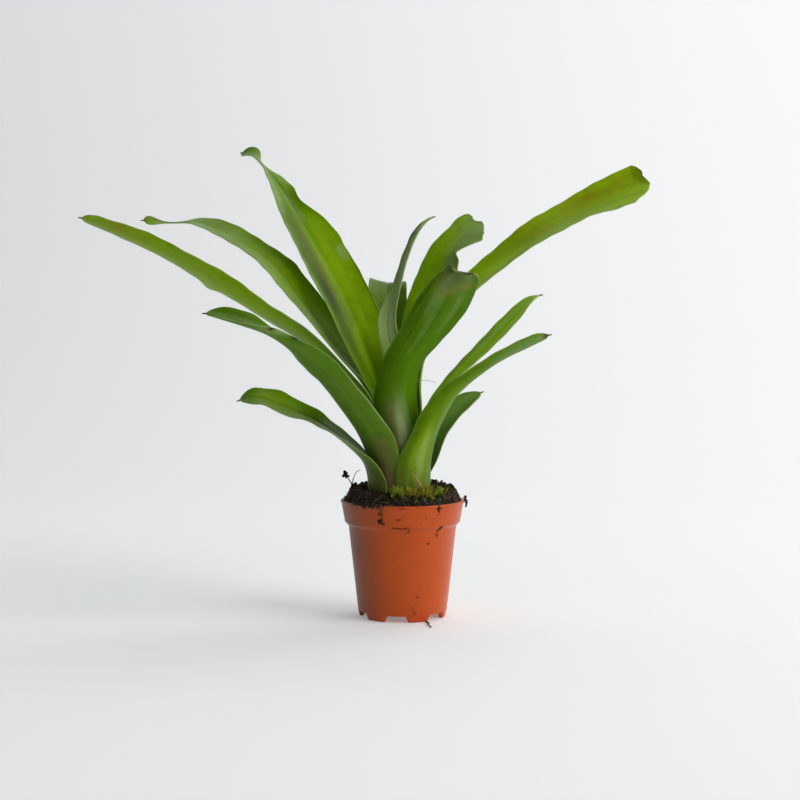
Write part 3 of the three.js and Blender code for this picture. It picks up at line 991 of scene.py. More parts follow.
    def skin_patch(self, leaf: Leaf) -> Patch:
        """Works out the whole skin of a leaf.

        Columns run from the foot to the blunt end, spaced as a sine so that they crowd at the margins.
        The end is an ellipse, or follows the torn crest's depths behind the line's end. Each cross
        section is an arc of the leaf's width and bend, lifted by ripples and lowered along the keel.
        The skin's two sides stand off it by half the thickness, which rounds to nothing at the margins.

        Args:
            leaf: the leaf's plan.

        Returns:
            The skin with its fields.
        """
        spine = self.spine(leaf)
        length = spine.distance[-1] - self.point_length
        angle = np.linspace(-math.pi / 2, math.pi / 2, self.columns + 1)
        across = np.sin(angle)
        end = length - leaf.tip * (1 - np.cos(angle))
        if leaf.relief.crest:
            place, depth = np.array(leaf.relief.crest).T
            end = spine.distance[-1] - np.interp(across, place, depth)
        body = np.linspace(0, 1, round(length / self.row_step))
        near_end = 1 - np.array([0.55, 0.3, 0.14, 0.05, 0.012]) / length
        rows = np.sort(np.concatenate([body, near_end]))
        distance = rows[:, None] * end[None, :]
        share = np.broadcast_to(across, distance.shape)
        forms = (spine.width, spine.bend, spine.side, spine.up)
        width, bend, side, up = (spine.read(values, distance) for values in forms)
        along = distance / spine.distance[-1]
        tilt = bend / 2 * share
        radius = width / bend
        sideways = radius * np.sin(tilt) + self.swelling(leaf, along, share)
        rise = radius * (1 - np.cos(tilt)) + self.waving(leaf, along, share, distance)
        middle = spine.read(spine.place, distance) + side * sideways[..., None] + up * rise[..., None]
        face = unit(up * np.cos(tilt)[..., None] - side * np.sin(tilt)[..., None])
        edge = np.minimum((1 - np.abs(share)) * width / 2, end[None, :] - distance)
        thinning = np.abs(share) ** 2 * smoothstep(along, 0.1, 0.4)
        full = lerp(self.thickness, self.margin_thickness, thinning) / 2
        half = full * np.sqrt(1 - (1 - np.clip(edge / full, 0, 1)) ** 2)
        groove = leaf.relief.keel * np.exp(-((share / self.keel_breadth) ** 2))
        groove = groove * smoothstep(along, 0.15, 0.4) * smoothstep(1 - along, 0.0, 0.15)
        upper = middle + face * (half - np.minimum(groove, half * 1.5))[..., None]
        lower = middle - face * half[..., None]
        return self.closed_skin(leaf, upper, lower, distance, share, edge, along)

    def swelling(self, leaf: Leaf, along: np.ndarray, share: np.ndarray) -> np.ndarray:
        """Works out how far the swells draw the skin sideways: a bell along it, even across a half.

        Args:
            leaf: the leaf's plan.
            along: place along it from 0 to 1.
            share: place across it from -1 to 1.

        Returns:
            The shift of each point, in millimetres.
        """
        total = np.zeros_like(share)
        for place, side, height, length in leaf.relief.swells:
            hump = np.exp(-(((along - place) / length) ** 2))
            total = total + side * height * hump * np.clip(side * share, 0, 1)
        return total

    def waving(self, leaf: Leaf, along: np.ndarray, share: np.ndarray, distance: np.ndarray) -> np.ndarray:
        """Works out how far the margins' broad and fine waves lift the skin: sines that grow outwards.

        Args:
            leaf: the leaf's plan.
            along: place along it from 0 to 1.
            share: place across it from -1 to 1.
            distance: place along it in millimetres.

        Returns:
            The lift of each point, in millimetres.
        """
        height, count = leaf.ripple
        fine_height, fine_length = self.fine_ripple
        fade = smoothstep(along, 0.35, 0.6) * smoothstep(1 - along, 0, 0.12)
        phase = np.where(share > 0, self.ripple_phase, 0.0)
        broad = height * fade * share**2 * np.sin(2 * math.pi * count * along + phase)
        fine = fine_height * fade * share**4 * np.sin(distance / fine_length + 2 * phase + leaf.ring)
        return broad + fine

    def closed_skin(
        self,
        leaf: Leaf,
        upper: np.ndarray,
        lower: np.ndarray,
        distance: np.ndarray,
        share: np.ndarray,
        edge: np.ndarray,
        along: np.ndarray,
    ) -> Patch:
        """Joins the two sides of a leaf into one closed patch, with its fields.

        Args:
            leaf: the leaf's plan.
            upper: points of the upper side, rows by columns.
            lower: points of the lower side.
            distance: distance along the leaf of each point.
            share: place across it from -1 to 1.
            edge: distance to the nearest margin.
            along: place along it from 0 to 1.

        Returns:
            The patch.
        """
        rows, columns = share.shape
        count = rows * columns
        front = Patch.grid_faces(rows, columns)
        back = front[:, ::-1] + count
        column = np.arange(columns - 1)
        foot = np.stack([column, column + count, column + 1 + count, column + 1], axis=1)
        tone = leaf.tone
        under = np.concatenate([np.zeros(count), np.ones(count)])
        clasp = self.blush_amount * (1 - smoothstep(distance, *self.blush_reach)) * (1 - 0.4 * share**2)
        amount, extent = self.dry_end
        dry = amount * np.exp(-(((1 - along) / extent) ** 2))
        fields = {
            "under": under,
            "edge": np.tile(edge.ravel(), 2),
            # the golden field also paints the glow of light shining through the leaf
            "gold": np.full(2 * count, tone.gold),
            # waxy grey coat on the lower side, partly painted sheen
            "bloom": under * tone.bloom,
            "flush": np.tile((tone.flush * smoothstep(along, 0.5, 0.95)).ravel(), 2),
            "blush": np.tile(clasp.ravel(), 2),
            "pale": np.zeros(2 * count),
            "dark": np.zeros(2 * count),
            "brown": np.tile(dry.ravel(), 2),
        }
        # marks add real patches, and also painted light and shade
        for mark in tone.marks:
            reach = ((along - mark.along) * distance.max() / mark.length) ** 2
            reach = reach + ((share - mark.across) / mark.breadth) ** 2
            added = mark.amount * (1 - smoothstep(np.sqrt(reach), 0.4, 1.0))
            name = mark.tint.value
            fields[name] = fields[name] + np.tile(added.ravel(), 2)
        flat = np.stack([share * self.flat_half_width, distance], axis=-1).reshape(-1, 2)
        points = np.concatenate([upper.reshape(-1, 3), lower.reshape(-1, 3)])
        return Patch(points, [front, back, foot], fields, np.tile(flat, (2, 1)))

    def point_patch(self, leaf: Leaf) -> Patch:
        """Works out the leaf's hard little point: a tapering tube that runs on from its end and bends down.

        Args:
            leaf: the leaf's plan.

        Returns:
            The point, dry and brown, with the skin's fields.
        """
        spine = self.spine(leaf)
        share = np.linspace(0, 1, 9)
        distance = spine.distance[-1] - (1 - share) * (self.point_length + self.point_overlap)
        bow = self.point_bend * share[:, None] ** 2
        line = spine.read(spine.place, distance) - spine.read(spine.up, distance) * bow
        made = tube(line, lerp(*self.point_radius, share**0.8), 10)
        count = len(made.points)
        dry = smoothstep(made.fields["share"], 0.1, 0.5)
        absent = ("under", "bloom", "flush", "blush", "pale", "dark")
        made.fields = {name: np.zeros(count) for name in absent}
        made.fields |= {"edge": np.full(count, 5.0), "gold": np.full(count, 0.2), "brown": dry}
        made.flat = np.zeros((count, 2))
        return made

    def build(self) -> None:
        """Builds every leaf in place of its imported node, and dresses the crown. Torn leaves lack a point."""
        skin = self.skin.make()
        for leaf in LEAVES:
            points = [] if leaf.relief.crest else [self.point_patch(leaf)]
            piece = Patch.joined([self.skin_patch(leaf), *points]).build(leaf.name + "_skin", skin, 0.002)
            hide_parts(leaf.name)
        crown = FibreFinish("crown_flesh", (0.3, 0.3, 0.12), (0.36, 0.4, 0.16), 0.5)
        dress(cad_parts["crown"], crown.make())


def dress(node: bpy.types.Object, material: bpy.types.Material) -> None:
    """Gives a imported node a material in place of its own."""
    node.data.materials.clear()
    node.data.materials.append(material)


# The leaves from the outermost to the youngest. Many of their marks paint light and shade: glow, sheen,
# highlights and dark shade.
LEAVES = (
    Leaf(
        "leaf_low_left", 0, 8, (0.5, 5), Sheath(193, 56, 52, 62),
        (
            (-17, -5, 69, 22, 80, 0), (-24, -8, 77, 18, 60, -6), (-35, -11, 86, 16, 50, -14),
            (-49, -14, 93, 17, 45, -24), (-63, -16, 98, 15, 40, -24), (-72, -17, 97, 9, 40, -20),
        ),
        Tone(gold=0.35, bloom=0.1, marks=(
            dark(0.55, 0.3, 16, 0.8, 0.35), bloom(0.8, -1, 22, 0.35, 0.5),
            gold(0.8, 0.0, 18, 1.5, 0.35), dark(0.2, 0, 36, 1.5, 0.7),
        )),
    ),
    Leaf(
        "leaf_front_right", 0, 8, (0, 0), Sheath(322, 64, 54, 70),
        (
            (12, -10, 80, 21, 90, 0), (15, -13, 89, 18, 80, -6), (21, -16, 99, 13, 70, -8),
            (30.5, -18, 107.3, 11, 60, -2), (42, -20, 115, 12, 60, 4), (55, -21, 121.6, 12.5, 50, 4),
            (64, -21, 126, 9, 50, 0),
        ),
        Tone(gold=0.3, bloom=0.0, marks=(
            bloom(0.88, 0.3, 20, 0.7, 0.4), gold(0.26, 0.25, 20, 0.45, 0.35),
            pale(0.25, 0.22, 15, 0.25, 0.16), brown(1.0, 0, 5, 1.5, 1.0),
            brown(0.18, 0.55, 0.7, 0.05, 0.8), brown(0.192, 0.36, 0.7, 0.045, 0.8),
            brown(0.172, 0.4, 0.6, 0.04, 0.8), blush(0.16, 0.4, 22, 1.2, -0.2),
            dark(0.2, 0.9, 26, 0.3, 0.4), dark(0.2, -0.5, 30, 0.35, 0.4),
            dark(0.5, 0.7, 26, 0.5, 0.4), flush(0.75, -0.9, 40, 0.4, 0.6),
            dark(0.85, 0.1, 30, 0.8, 0.25),
        )),
    ),
    Leaf(
        "leaf_front_left", 1, 8, (0.5, 4), Sheath(230, 54, 44, 67),
        (
            (-13, -13, 78, 22, 85, 0), (-19, -20, 89, 21, 70, 0), (-27, -27, 101, 18, 65, 5),
            (-38, -35, 113.5, 16.2, 70, 8), (-51, -42, 123, 16, 100, -14), (-65, -48, 130, 16, 110, -46),
            (-82, -53, 135, 9, 90, -40),
        ),
        Tone(gold=0.1, bloom=0.1, marks=(
            brown(0.8, -0.95, 1.6, 0.2, 1.0), brown(0.715, -0.97, 2.2, 0.12, 1.0),
            bloom(0.79, -0.9, 9, 0.4, 0.5), bloom(0.62, 0.9, 16, 0.3, 0.35),
            pale(0.42, -0.98, 24, 0.06, 0.3), dark(0.5, 0.9, 40, 0.4, 0.3),
            dark(0.9, 0.3, 18, 1.2, 0.35), bloom(0.18, 0.7, 26, 0.6, 0.9),
            pale(0.2, 0.8, 26, 0.5, 0.25), blush(0.17, -0.4, 20, 0.55, 0.9),
        )),
        Relief(swells=((0.735, -1, -2.0, 0.035), (0.8, -1, 1.2, 0.015))),
    ),
    Leaf(
        "leaf_short_right", 1, 8, (0, 0), Sheath(44, 46, 34, 61),
        (
            (12, 9, 70, 16, 80, 0), (15.3, 12, 78.3, 14.5, 70, 0), (20.8, 14, 86.5, 12.3, 60, 0),
            (28.2, 17, 94, 11.5, 50, 0), (37, 19, 99.5, 6.5, 50, 0),
        ),
        Tone(gold=0.15, bloom=0.4, marks=(
            bloom(0.8, -0.2, 26, 0.9, 0.6), bloom(0.6, -0.98, 22, 0.14, 0.9),
            flush(0.7, 0.95, 22, 0.2, 0.6),
        )),
    ),
    Leaf(
        "leaf_front", 2, 8, (0.6, 4), Sheath(280, 54, 48, 80),
        (
            (-2.4, -15, 95, 21, 80, 0), (-0.2, -20, 111, 18.2, 70, 0), (8.8, -28, 126, 20, 60, 0),
            (17, -38, 140, 20, 45, 0), (23, -49, 149, 18, 45, 0), (26, -58, 151, 13, 45, 0),
        ),
        Tone(gold=0.12, bloom=0.0, marks=(
            flush(0.9, 0.3, 18, 0.7, 1.0), flush(0.95, -0.5, 12, 0.6, 1.0),
            dark(0.93, 0.3, 16, 0.9, 0.6), bloom(0.93, 0.1, 14, 0.9, 0.5),
            dark(0.97, 0.7, 8, 0.35, 0.6), bloom(0.97, 0.7, 8, 0.4, 0.5),
            bloom(0.84, 0.35, 20, 0.3, 0.4), dark(0.8, 0.85, 16, 0.12, 0.6),
            bloom(0.72, 0.1, 26, 0.16, 0.25), bloom(0.78, -0.5, 18, 0.14, 0.25),
            bloom(0.27, -0.05, 26, 0.6, 0.6), blush(0.27, 0.25, 26, 0.6, 1.0),
            dark(0.6, 0.6, 26, 0.6, 0.3), pale(0.26, 0.0, 20, 0.3, 0.35),
        )),
        Relief(
            crest=(
                (-1, 4), (-0.85, 0.8), (-0.6, 0), (0, 0.3), (0.3, 1.6), (0.46, 2.6), (0.62, 1.2), (0.8, 0),
                (1, 0),
            ),
            swells=(
                (0.79, -1, 2.8, 0.1), (1, -1, -2.6, 0.05), (0.93, 1, -1.5, 0.03), (1, 1, 2.2, 0.04),
            ),
        ),
    ),
    Leaf(
        "leaf_back", 2, 8, (0, 0), Sheath(97, 54, 50, 82),
        (
            (-2, 17, 97, 20, 70, 0), (-4, 27, 118, 20, 60, 0), (-7, 40, 138, 19, 50, 0),
            (-7, 55, 149, 18, 40, 0), (-7, 70, 148, 14, 40, 0),
        ),
        Tone(gold=0.5, bloom=0.0, marks=(
            brown(0.78, -0.85, 2.5, 0.14, 1.0), dark(0.8, 0, 60, 2, 0.6),
        )),
    ),
    Leaf(
        "leaf_long_left", 3, 9, (0.4, 5), Sheath(192, 52, 40, 82),
        (
            (-19, -6, 98, 20, 80, 0), (-28, -10, 109, 21, 60, 4), (-43, -15, 123, 21, 50, 14),
            (-62, -19, 135.5, 19.5, 50, 22), (-87, -24, 151.5, 22, 50, 22), (-112, -28, 165, 18.5, 50, 20),
            (-137, -30, 175.5, 11, 40, 22),
        ),
        Tone(gold=0.8, bloom=0.0, flush=0.3, marks=(
            bloom(0.62, 0.9, 70, 0.4, 0.6), flush(0.95, -0.5, 18, 0.8, 0.5),
            bloom(0.4, -0.98, 40, 0.1, 0.8), dark(0.42, 0.2, 30, 0.7, 0.25),
        )),
        Relief(swells=((0.682, 1, 3, 0.022), (1, -1, 0.8, 0.03))),
    ),
    Leaf(
        "leaf_narrow_right", 3, 8, (0, 0), Sheath(354, 46, 38, 78),
        (
            (13, 1, 92, 13, 70, 15), (22, 1, 104, 14, 60, 22), (37.3, 3, 119, 14.8, 60, 30),
            (49.3, 4, 131.8, 14, 50, 32), (57.8, 5, 140.8, 11.5, 50, 22), (62.5, 5, 143.5, 8, 50, 5),
        ),
        Tone(gold=2.0, bloom=0.0, marks=(
            pale(0.8, -0.5, 26, 0.3, 0.45), bloom(0.62, -0.75, 26, 0.2, 0.5),
            dark(0.7, -0.98, 50, 0.1, 0.5), dark(0.35, 0.9, 30, 0.5, 0.4),
            bloom(0.75, 0.98, 60, 0.12, 0.5), bloom(0.97, 0.6, 6, 0.8, 0.4),
        )),
    ),
    Leaf(
        "leaf_back_left", 4, 7, (0.5, 5), Sheath(160, 54, 52, 86),
        (
            (-15, 6, 100, 21, 80, 0), (-26, 12, 115, 22, 65, -10), (-41, 21, 134, 24, 60, -14),
            (-58, 31, 155, 23, 50, -19), (-78, 41, 169.5, 21, 45, -17), (-97, 50, 177.6, 15, 35, -22),
            (-111, 55, 178, 6.5, 20, -5), (-125, 58, 179.5, 9, 40, 50),
        ),
        Tone(gold=0.55, bloom=0.15, marks=(
            bloom(0.82, 0, 24, 1.5, 0.35), bloom(0.62, -0.85, 60, 0.3, 0.5),
            gold(0.45, 0.5, 50, 0.7, 0.6), bloom(0.45, -0.3, 26, 0.25, 0.4),
            brown(0.745, -0.85, 0.9, 0.08, 1.0), brown(0.625, -0.95, 0.9, 0.06, 1.0),
            brown(0.575, -0.95, 0.8, 0.05, 1.0), gold(0.98, 0, 8, 1.5, 0.4),
        )),
        Relief(swells=((0.575, 1, -2.0, 0.03),)),
    ),
    Leaf(
        "leaf_long_right", 4, 8, (0.3, 6), Sheath(22, 50, 40, 92),
        (
            (7.5, 2.4, 106, 12.5, 85, 0), (10.4, 3, 119, 13, 75, 4), (22, 8, 136, 18, 62, 6),
            (40, 15, 153.6, 21, 60, 10), (61.8, 22.5, 170.4, 22, 50, 18), (84, 33, 183, 21.8, 45, 26),
            (103, 38, 191.5, 24.5, 40, 34), (116, 41, 196.5, 25, 40, 38),
        ),
        Tone(gold=1.15, bloom=0.05, flush=0.1, marks=(
            flush(0.76, -0.4, 38, 1.1, 0.35), flush(0.92, -0.6, 24, 0.8, 0.4),
            bloom(0.62, 0.99, 70, 0.12, 0.7), bloom(0.87, 0.99, 12, 0.2, 0.8),
            dark(0.985, -0.5, 4, 0.7, 0.6), gold(0.5, 0.1, 40, 0.9, 0.5),
        )),
        Relief(
            crest=(
                (-1, 3.6), (-0.87, 1.9), (-0.63, 0.6), (-0.48, 0.9), (-0.42, 1.7), (-0.19, 1.1), (0.08, 0.9),
                (0.4, 3.7), (0.62, 7.3), (0.74, 10.8), (1, 15),
            ),
            swells=((0.87, 1, 1.2, 0.03),),
        ),
    ),
    Leaf(
        "leaf_tall", 5, 6, (0.4, 5), Sheath(124, 54, 52, 92),
        (
            (-11, 9, 106, 22, 80, 0), (-18, 15, 122, 25, 65, 0), (-26, 26, 140, 27, 60, 0),
            (-38, 39, 162, 26, 50, 0), (-51, 52, 184, 20, 50, 0), (-62, 62, 200, 11, 40, 15),
            (-69, 66, 208, 4.5, 40, 40), (-73, 69, 212, 10.5, 40, 0), (-79, 72, 213, 12, 60, -20),
        ),
        Tone(gold=0.35, bloom=0.05, marks=(
            bloom(0.84, -0.75, 22, 0.4, 0.6), bloom(0.6, -1, 60, 0.12, 0.6),
            bloom(0.94, 0, 10, 2, 0.6), dark(0.62, -0.6, 46, 0.4, 0.65),
            flush(0.6, -0.4, 46, 0.35, 0.6), dark(0.45, -0.6, 36, 0.35, 0.75),
            gold(0.56, 0.5, 56, 0.85, 0.65), pale(0.625, 0.8, 7, 0.25, 0.25),
            gold(0.35, 0.2, 24, 0.7, 0.7), bloom(0.78, 0.1, 14, 0.3, 0.5),
            dark(0.5, 0.98, 44, 0.08, 0.6),
        )),
        Relief(keel=0.5, swells=((0.785, 1, -4.8, 0.035), (0.82, 1, -1, 0.02), (0.68, 1, 1.6, 0.035))),
    ),
    Leaf(
        "leaf_back_right", 6, 8, (0.5, 4), Sheath(54, 46, 36, 98),
        (
            (1.8, 9.8, 110, 10, 95, 0), (6.2, 19.5, 126, 15, 70, 8), (15, 30, 146, 24, 50, 8),
            (24, 44, 165, 22, 45, 14), (32, 57, 176, 20, 40, 26), (36.6, 64.7, 180.6, 17, 40, 34),
        ),
        Tone(gold=0.5, bloom=0.2, marks=(
            bloom(0.84, 0.4, 26, 0.9, 0.4), dark(0.985, 0, 5, 0.8, 0.55),
            gold(0.72, -0.5, 36, 0.6, 0.25), dark(0.55, 0.8, 24, 0.6, 0.4),
            bloom(0.66, 0.8, 14, 0.3, 0.4), brown(0.69, -0.1, 1.3, 0.065, 1.2),
            gold(0.55, -0.2, 20, 0.8, 0.3),
        )),
        Relief(
            crest=(
                (-1, 3.5), (-0.9, 1.4), (-0.75, 0.8), (-0.45, 1), (-0.32, 2.2), (0.02, 3.2), (0.33, 1.8),
                (0.6, 6), (0.86, 12.5), (1, 15),
            ),
            swells=(
                (0.795, 1, -6.8, 0.035), (0.735, 1, -2.2, 0.03), (0.865, 1, 1.8, 0.02), (0.9, -1, -2, 0.06),
                (1, -1, -2.8, 0.05), (1, 1, 0.8, 0.05),
            ),
        ),
    ),
    Leaf(
        "leaf_young", 7, 8, (0, 0), Sheath(85, 55, 55, 100),
        (
            (-4, 8, 114, 11, 90, 10), (-7, 13, 131, 9, 80, 5), (-1.8, 18, 148, 7, 60, -45),
            (2.3, 22, 161, 9, 60, -60), (6.8, 26, 171.5, 9, 60, -60), (11, 29, 177, 8, 60, -60),
            (15, 31, 179.8, 4, 60, -60),
        ),
        Tone(gold=0.2, bloom=0.9, marks=(
            pale(0.5, 0.97, 50, 0.12, 0.6), bloom(0.7, 0.4, 60, 0.6, 0.7),
            brown(1.0, 0, 3, 2, 0.9), pale(0.68, 0.0, 44, 1.5, 0.42),
        )),
    ),
)


@dataclass
class Pot:
    """The nursery pot: a thin shell turned about its axis, with a band, a lip and a notched foot ring.

    Args:
        height: of its rim.
        rim: radius of its lip.
        band_top: radius of the band at its top.
        band_bottom: the same at its lower edge.
        band_height: from the band's lower edge to the rim.
        lip: height of the lip.
        body_top: radius of the wall just under the band.
        body_bottom: radius of the wall at its foot.
        foot: outer radius of the foot ring.
        foot_width: breadth of the foot ring.
        step: height of the step from the wall out to the band.
        wall: thickness of the plastic.
        floor: height of the floor's underside.
        notches: how many notches the foot ring has.
        notch_bottom: a notch's width below.
        notch_top: its width at its top.
        notch_height: how high it reaches.
        notch_limit: the height up to which the foot ring is squeezed to make room for the notches.
        front_notch: compass angle of the notch in front, in degrees.
        foot_points: the first and the last point of the outline that the notches lift.
        drains: how many holes the floor has.
        drain_radius: radius of a hole.
        drain_circle: radius of the circle that they stand on.
        wall_start: the outline's first point on the outer wall.
        inside_start: its first point on the pot's inside.
        wobble: how far the wall is out of round, by its second and its fifth wave.
        sharp: the least angle of a crease that is drawn sharp, in degrees.
        columns: points round the pot.
        finish: its finish.
    """

    height: float = 52.0
    rim: float = 27.5
    band_top: float = 27.1
    band_bottom: float = 25.7
    band_height: float = 9.7
    lip: float = 1.1
    body_top: float = 24.0
    body_bottom: float = 19.9
    foot: float = 19.2
    foot_width: float = 1.9
    step: float = 1.4
    wall: float = 1.2
    floor: float = 3.0
    notches: int = 6
    notch_bottom: float = 11.2
    notch_top: float = 8.8
    notch_height: float = 2.7
    notch_limit: float = 3.0
    front_notch: float = 261.3
    foot_points: tuple[int, int] = (3, 9)
    drains: int = 6
    drain_radius: float = 2.6
    drain_circle: float = 11.0
    wall_start: int = 8
    inside_start: int = 27
    wobble: tuple[float, float] = (0.05, 0.03)
    sharp: float = 50.0
    columns: int = 432
    finish: PotFinish = PotFinish()

    def profile(self) -> np.ndarray:
        """Lists the wall's outline, from the floor's middle below, out and up, and back down inside.

        Returns:
            Radius and height of each point.
        """
        band = self.height - self.band_height
        body = band - self.step
        inside = self.floor + self.wall
        lip = self.height - self.lip
        inner_foot = self.foot - self.foot_width
        return np.array([
            (0.0, self.floor), (8.0, self.floor), (inner_foot - 0.4, self.floor),
            (inner_foot, self.floor - 0.4), (inner_foot, 0.3),
            (inner_foot + 0.3, 0.0), (self.foot - 0.5, 0.0), (self.foot - 0.15, 0.12),
            (self.foot, 0.5), (self.body_bottom - 0.12, 3.0), (self.body_bottom, 3.6),
            (lerp(self.body_bottom, self.body_top, 0.34), lerp(3.4, body, 0.34)),
            (lerp(self.body_bottom, self.body_top, 0.67), lerp(3.4, body, 0.67)),
            (self.body_top - 0.05, body - 0.5), (self.body_top + 0.1, body),
            (self.body_top + 0.5, body + 0.35),
            (self.band_bottom - 0.35, band - 0.15), (self.band_bottom - 0.05, band + 0.1),
            (self.band_bottom, band + 0.5), ((self.band_bottom + self.band_top) / 2, (band + lip) / 2),
            (self.band_top, lip - 0.25), (self.band_top + 0.05, lip), (self.rim - 0.08, lip + 0.18),
            (self.rim, lip + 0.3), (self.rim, self.height - 0.35), (self.rim - 0.12, self.height - 0.1),
            (self.rim - 0.35, self.height), (self.rim - self.wall + 0.15, self.height),
            (self.rim - self.wall - 0.02, self.height - 0.2),
            (self.band_bottom - self.wall, band + 0.4), (self.body_top - self.wall, body + 0.4),
            (self.body_bottom - self.wall + 0.1, inside + 0.8), (self.body_bottom - self.wall - 0.7, inside),
            (8.0, inside), (0.0, inside),
        ])

    def notch_rise(self, angle: np.ndarray) -> np.ndarray:
        """Works out how high the foot ring is cut away: evenly spaced notches with sloping sides.

        Args:
            angle: compass angles, in radians.

        Returns:
            The cut's height at each, in millimetres.
        """
        pitch = 2 * math.pi / self.notches
        offset = (angle - math.radians(self.front_notch) + pitch / 2) % pitch - pitch / 2
        arc = np.abs(offset) * self.foot
        share = (self.notch_bottom / 2 - arc) / ((self.notch_bottom - self.notch_top) / 2)
        return self.notch_height * np.clip(share, 0, 1)

    def patch(self) -> Patch:
        """Turns the outline about the axis.

        Where a notch is, the foot ring's heights from 0 to the limit are squeezed into what lies above
        the notch. Soil clings in lumps near the rim and evenly inside, and shade is painted on the left side.

        Returns:
            The shell, with its fields for the soil and for the painted shade on the left.
        """
        outline = self.profile()
        order = np.arange(len(outline))[:, None]
        first, last = self.foot_points
        angle = np.linspace(0, 2 * math.pi, self.columns, endpoint=False)
        radius = np.repeat(outline[:, :1], self.columns, axis=1)
        height = np.repeat(outline[:, 1:], self.columns, axis=1)
        cut = self.notch_rise(angle) * ((order >= first) & (order <= last))
        height = np.where(height < self.notch_limit, cut + height * (1 - cut / self.notch_limit), height)
        second, fifth = self.wobble
        wobble = second * np.sin(2 * angle + 0.8) + fifth * np.sin(5 * angle)
        radius = radius + wobble * smoothstep(height, 10, 50) * (radius > 20)
        points = np.stack([radius * np.cos(angle), radius * np.sin(angle), height], axis=-1)
        inside = (order >= self.inside_start) * (height > 30)
        near_rim = smoothstep(height, self.height - 2.5, self.height)
        soiled = near_rim * np.clip(0.5 * lumps(points, 7.0, 4), 0, 1) + 0.8 * inside
        # painted shade: darker towards the pot's left side, which faces away from the light
        film = 0.75 * smoothstep(-np.cos(angle), 0.25, 1.0)[None, :] * (height > 0)
        fields = {"soiled": np.clip(soiled, 0, 1).ravel(), "film": film.ravel()}
        faces = Patch.grid_faces(len(outline), self.columns, wrap=True)
        return Patch(points.reshape(-1, 3), [faces], fields)

    def on_wall(self, angle: np.ndarray, height: np.ndarray, off: np.ndarray) -> np.ndarray:
        """Finds places on the outer wall.

        Args:
            angle: compass angles, in degrees.
            height: heights, in millimetres.
            off: how far each place stands off the wall, in millimetres.

        Returns:
            One point for each.
        """
        outline = self.profile()[self.wall_start:self.inside_start]
        radius = np.interp(height, outline[:, 1], outline[:, 0]) + off
        turn = np.radians(angle)
        return np.stack([radius * np.cos(turn), radius * np.sin(turn), height], axis=-1)

    def bore_holes(self, piece: bpy.types.Object) -> None:
        """Bores the drain holes through the floor: a ring of rods is cut from the mesh, and then removed.

        Args:
            piece: the pot's shell.
        """
        turn = np.radians(np.arange(self.drains) * 360 / self.drains)
        middle = np.stack([np.cos(turn), np.sin(turn), np.zeros(self.drains)], axis=1) * self.drain_circle
        reach = np.linspace(self.floor - 1, self.floor + self.wall + 1, 3)[:, None]
        radius = np.full(3, self.drain_radius)
        rods = [tube(place + reach * np.array([0.0, 0.0, 1.0]), radius, 40) for place in middle]
        tool = Patch.joined(rods).build("drain_rods", piece.data.materials[0])
        cut = piece.modifiers.new("drains", "BOOLEAN")
        cut.operation = "DIFFERENCE"
        cut.solver = "EXACT"
        cut.object = tool
        bored = bpy.data.meshes.new_from_object(piece.evaluated_get(bpy.context.evaluated_depsgraph_get()))
        piece.modifiers.clear()
        piece.data = bored
        bpy.data.objects.remove(tool)

    def build(self) -> None:
        """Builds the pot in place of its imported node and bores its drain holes."""
        piece = self.patch().build("pot_shell", self.finish.make(), 0.002)
        self.bore_holes(piece)
        piece.data.set_sharp_from_angle(angle=math.radians(self.sharp))
        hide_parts("pot")


